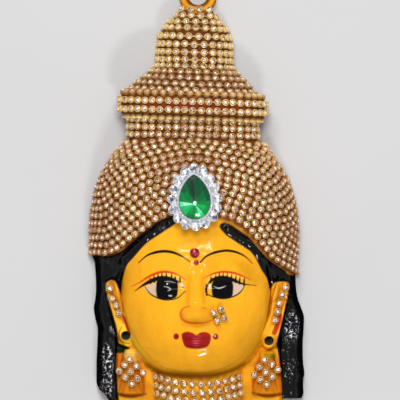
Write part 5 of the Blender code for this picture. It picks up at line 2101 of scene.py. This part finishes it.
@dataclass(frozen=True)
class Brooch:
    """A green pear stone in a collar, with a ring of round white stones on a back plate."""

    form: CastForm
    silver: bpy.types.Material
    white: bpy.types.Material
    green: bpy.types.Material
    at: tuple[float, float] = (-0.25, 48.6)
    lean: float = 2.0
    width: float = 0.0129
    length: float = 0.0184
    low_share: float = 0.16
    tip: float = 0.5
    rise: float = 0.0026
    bezel_width: float = 0.0014
    bezel_height: float = 0.0031
    halo_stone: float = 0.0039
    halo_count: int = 16
    halo_height: float = 0.0030
    plate: float = 0.0010
    outline_points: int = 132
    bead_depth: float = 0.0004
    # Painted reflections and shade: a tone for each facet sector, from the tip round.
    painted_facet_light: tuple = (
        *(0.26, 0.34, 0.32, 0.34, 0.36, 0.42, 0.56, 0.66, 0.62, 0.84, 0.60),
        *(0.48, 0.58, 0.74, 0.80, 0.95, 0.60, 0.50, 0.42, 0.36, 0.16, 0.04),
    )

    def centre(self) -> Array:
        """Where the brooch's back rests, on top of the chain rows.

        Returns:
            The point in metres.
        """
        reach = np.linspace(-1, 1, 9)
        across, up = self.at[0] + 6.5 * reach[:, None], self.at[1] + 7.2 * reach[None, :]
        highest = self.form.crown_height(across, up).max()
        return to_metres(*self.at, 0.0) + (highest * HUNDREDTH + 0.0029) * UP

    def line(self, beyond: float, count: int) -> Array:
        """Points evenly spaced along a pear outline moved outwards, from its tip round.

        The outline is x by the sine of a turn times a power of its half turn's sine, y by the cosine;
        each point moved out is the furthest one along a ray that a disc of that radius still covers.

        Args:
            beyond: how far outwards, in metres.
            count: how many points.

        Returns:
            x and y of the points.
        """
        t = np.linspace(0, 2 * math.pi, 721)
        shape = np.sin(t) * np.abs(np.sin(t / 2)) ** self.tip
        outline = 0.5 * np.stack([self.width * shape / shape.max(), self.length * np.cos(t)], -1)
        middle = np.array([0.0, -self.low_share * self.length])
        fine = np.linspace(0, 2 * math.pi, 361)
        rays = np.stack([np.sin(fine), np.cos(fine)], -1)
        along = (outline - middle) @ rays.T
        across = np.abs((outline - middle) @ np.stack([rays[:, 1], -rays[:, 0]]))
        reach = along + np.sqrt(np.clip(beyond**2 - across**2, 0, None))
        far = np.where(across <= max(beyond, 0.0003), reach, -1.0).max(0)
        out = middle + rays * far[:, None]
        run = run_of(out)
        at = np.linspace(0, run[-1], count, endpoint=False)
        return np.stack([np.interp(at, run, out[:, k]) for k in (0, 1)], -1)

    def turned(self, points: Array) -> Array:
        """Points of the brooch's own plane, leaned and carried to its place.

        Args:
            points: x, y and height of each.

        Returns:
            The points in metres.
        """
        turn = math.radians(self.lean)
        x = points[:, 0] * math.cos(turn) - points[:, 1] * math.sin(turn)
        y = points[:, 0] * math.sin(turn) + points[:, 1] * math.cos(turn)
        return self.centre() + np.stack([x, y, points[:, 2]], -1)

    def rings(self, profile: Sequence[tuple[float, float]], count: int) -> Array:
        """Pear outlines stacked up: how far beyond the stone, and the height, of each.

        Args:
            profile: the two measures of each outline.
            count: points in each.

        Returns:
            The points in metres.
        """
        middle = np.array([0.0, -self.low_share * self.length])
        rows = []
        for beyond, level in profile:
            line = self.line(max(beyond, 0.0), count)
            if beyond < 0:
                line = middle + (line - middle) * (1 + beyond / (0.5 * self.width))
            rows.append(np.concatenate([line, np.full((count, 1), level)], 1))
        return self.turned(np.concatenate(rows))

    def setting(self) -> None:
        """Back plate, collar, ring of cups with white stones, and prongs."""
        draw = np.random.default_rng(SEED + 2)
        count = self.outline_points
        w, top, inner = self.bezel_width, self.bezel_height, 0.00025
        edge = 0.62 * self.halo_stone + w
        profile = (
            (edge, 0.0), (edge, self.plate), (w, self.plate), (0.98 * w, 0.62 * top), (0.8 * w, 0.84 * top),
            (0.58 * w, 0.8 * top), (0.34 * w, top), (inner, 0.94 * top), (inner, self.plate),
        )
        levels = np.repeat([0.4, 0.5, 0.3, 0.6, 1.0, 0.55, 1.0, 0.9, 0.0], count)
        parts = Parts()
        shape = self.rings(profile, count)
        beads = shape.reshape(len(profile), count, 3)
        beads[3:8, ::3, 2] -= self.bead_depth
        parts.add(shape, closed_rings(len(profile), count), levels, np.zeros((1, 3)), np.eye(3)[None])
        spots = self.line(w + 0.5 * self.halo_stone, self.halo_count)
        feet = self.turned(np.concatenate([spots, np.full((self.halo_count, 1), 0.0003)], 1))
        outward = unit(feet - self.turned(np.array([[0.0, -0.1 * self.length, 0.0003]])))
        outward[:, 2] = 0
        up = unit(UP + draw.normal(0, 0.05, (self.halo_count, 3)) * (1, 1, 0))
        first = unit(outward - (outward * up).sum(-1, keepdims=True) * up)
        axes = standing(first, up)
        cup = Cup(self.halo_stone, self.halo_height - 0.0003, stone_share=0.90, table_share=0.44, facets=8)
        parts.add(*cup.metal(), feet, axes)
        parts.add(*cup.stone(), feet, axes, 1, lambda size: draw.random(size) ** 0.8)
        parts.settled("brooch_setting", [self.silver, self.white], Slot.SILVER)

    def stone(self) -> None:
        """Facets that run from the girdle to one bright point low in the stone, each toned with painted
        light and shade.
        """
        count = len(self.painted_facet_light)
        low = self.plate + 0.0002
        high, rise = low + 0.62 * self.rise, low + self.rise
        profile = ((0.0, low), (0.0, low + 0.0008), (-0.0016, high), (-0.0058, rise))
        points = self.rings(profile, count)
        faces = closed_rings(len(profile), count)
        sector = np.array(self.painted_facet_light)
        draw = np.random.default_rng(SEED + 3)

        def tone(size: tuple[int, int]) -> Array:
            """Painted light and shade by sector: the girdle darker, the table bright."""
            if size[1] == 2:
                return np.array([0.1, 1.0])
            rows = [0.15 + 0 * sector, 0.9 * sector, sector]
            return np.clip(np.concatenate(rows) + draw.normal(0, 0.04, size[1]), 0, 1)

        parts = Parts()
        parts.add(points, faces, np.ones(len(points)), np.zeros((1, 3)), np.eye(3)[None], 1, tone)
        parts.settled("brooch_stone", [self.green, self.green], Slot.GREEN)


WHITE_TONES = ramp(
    (0.0, 50, 50, 58), (0.25, 116, 118, 132), (0.5, 180, 182, 194), (0.8, 234, 235, 240),
    (1.0, 255, 255, 255),
)
CREAM_TONES = ramp((0.0, 84, 52, 44), (0.25, 164, 126, 112), (0.55, 224, 192, 174), (0.85, 255, 246, 236))
GREEN_TONES = ramp(
    (0.0, 0, 30, 16), (0.35, 4, 86, 48), (0.6, 0, 156, 66), (0.85, 40, 232, 128), (1.0, 200, 255, 240),
)
RED_TONES = ramp((0.0, 76, 0, 12), (0.5, 150, 12, 32), (1.0, 214, 78, 96))


def main() -> None:
    """Builds the sub-assemblies in order, then the studio."""
    cast = PaintedCast()
    cast.build()
    gilt = Gilt().material()
    CupChains(cast.form, gilt, Crystal("clear_crystal", CREAM_TONES, 0.2).material()).build()
    Bindis(cast.form, Crystal("red_glass", RED_TONES, 0.03).material()).build()
    silver = Silver().material()
    brooch = Brooch(
        cast.form,
        silver,
        Crystal("white_crystal", WHITE_TONES, 0.06).material(),
        Crystal("green_glass", GREEN_TONES, 0.12).material(),
    )
    brooch.setting()
    brooch.stone()
    Studio().build()


if __name__ == "__main__":
    logging.basicConfig(level=logging.INFO, format="%(message)s")
    main()
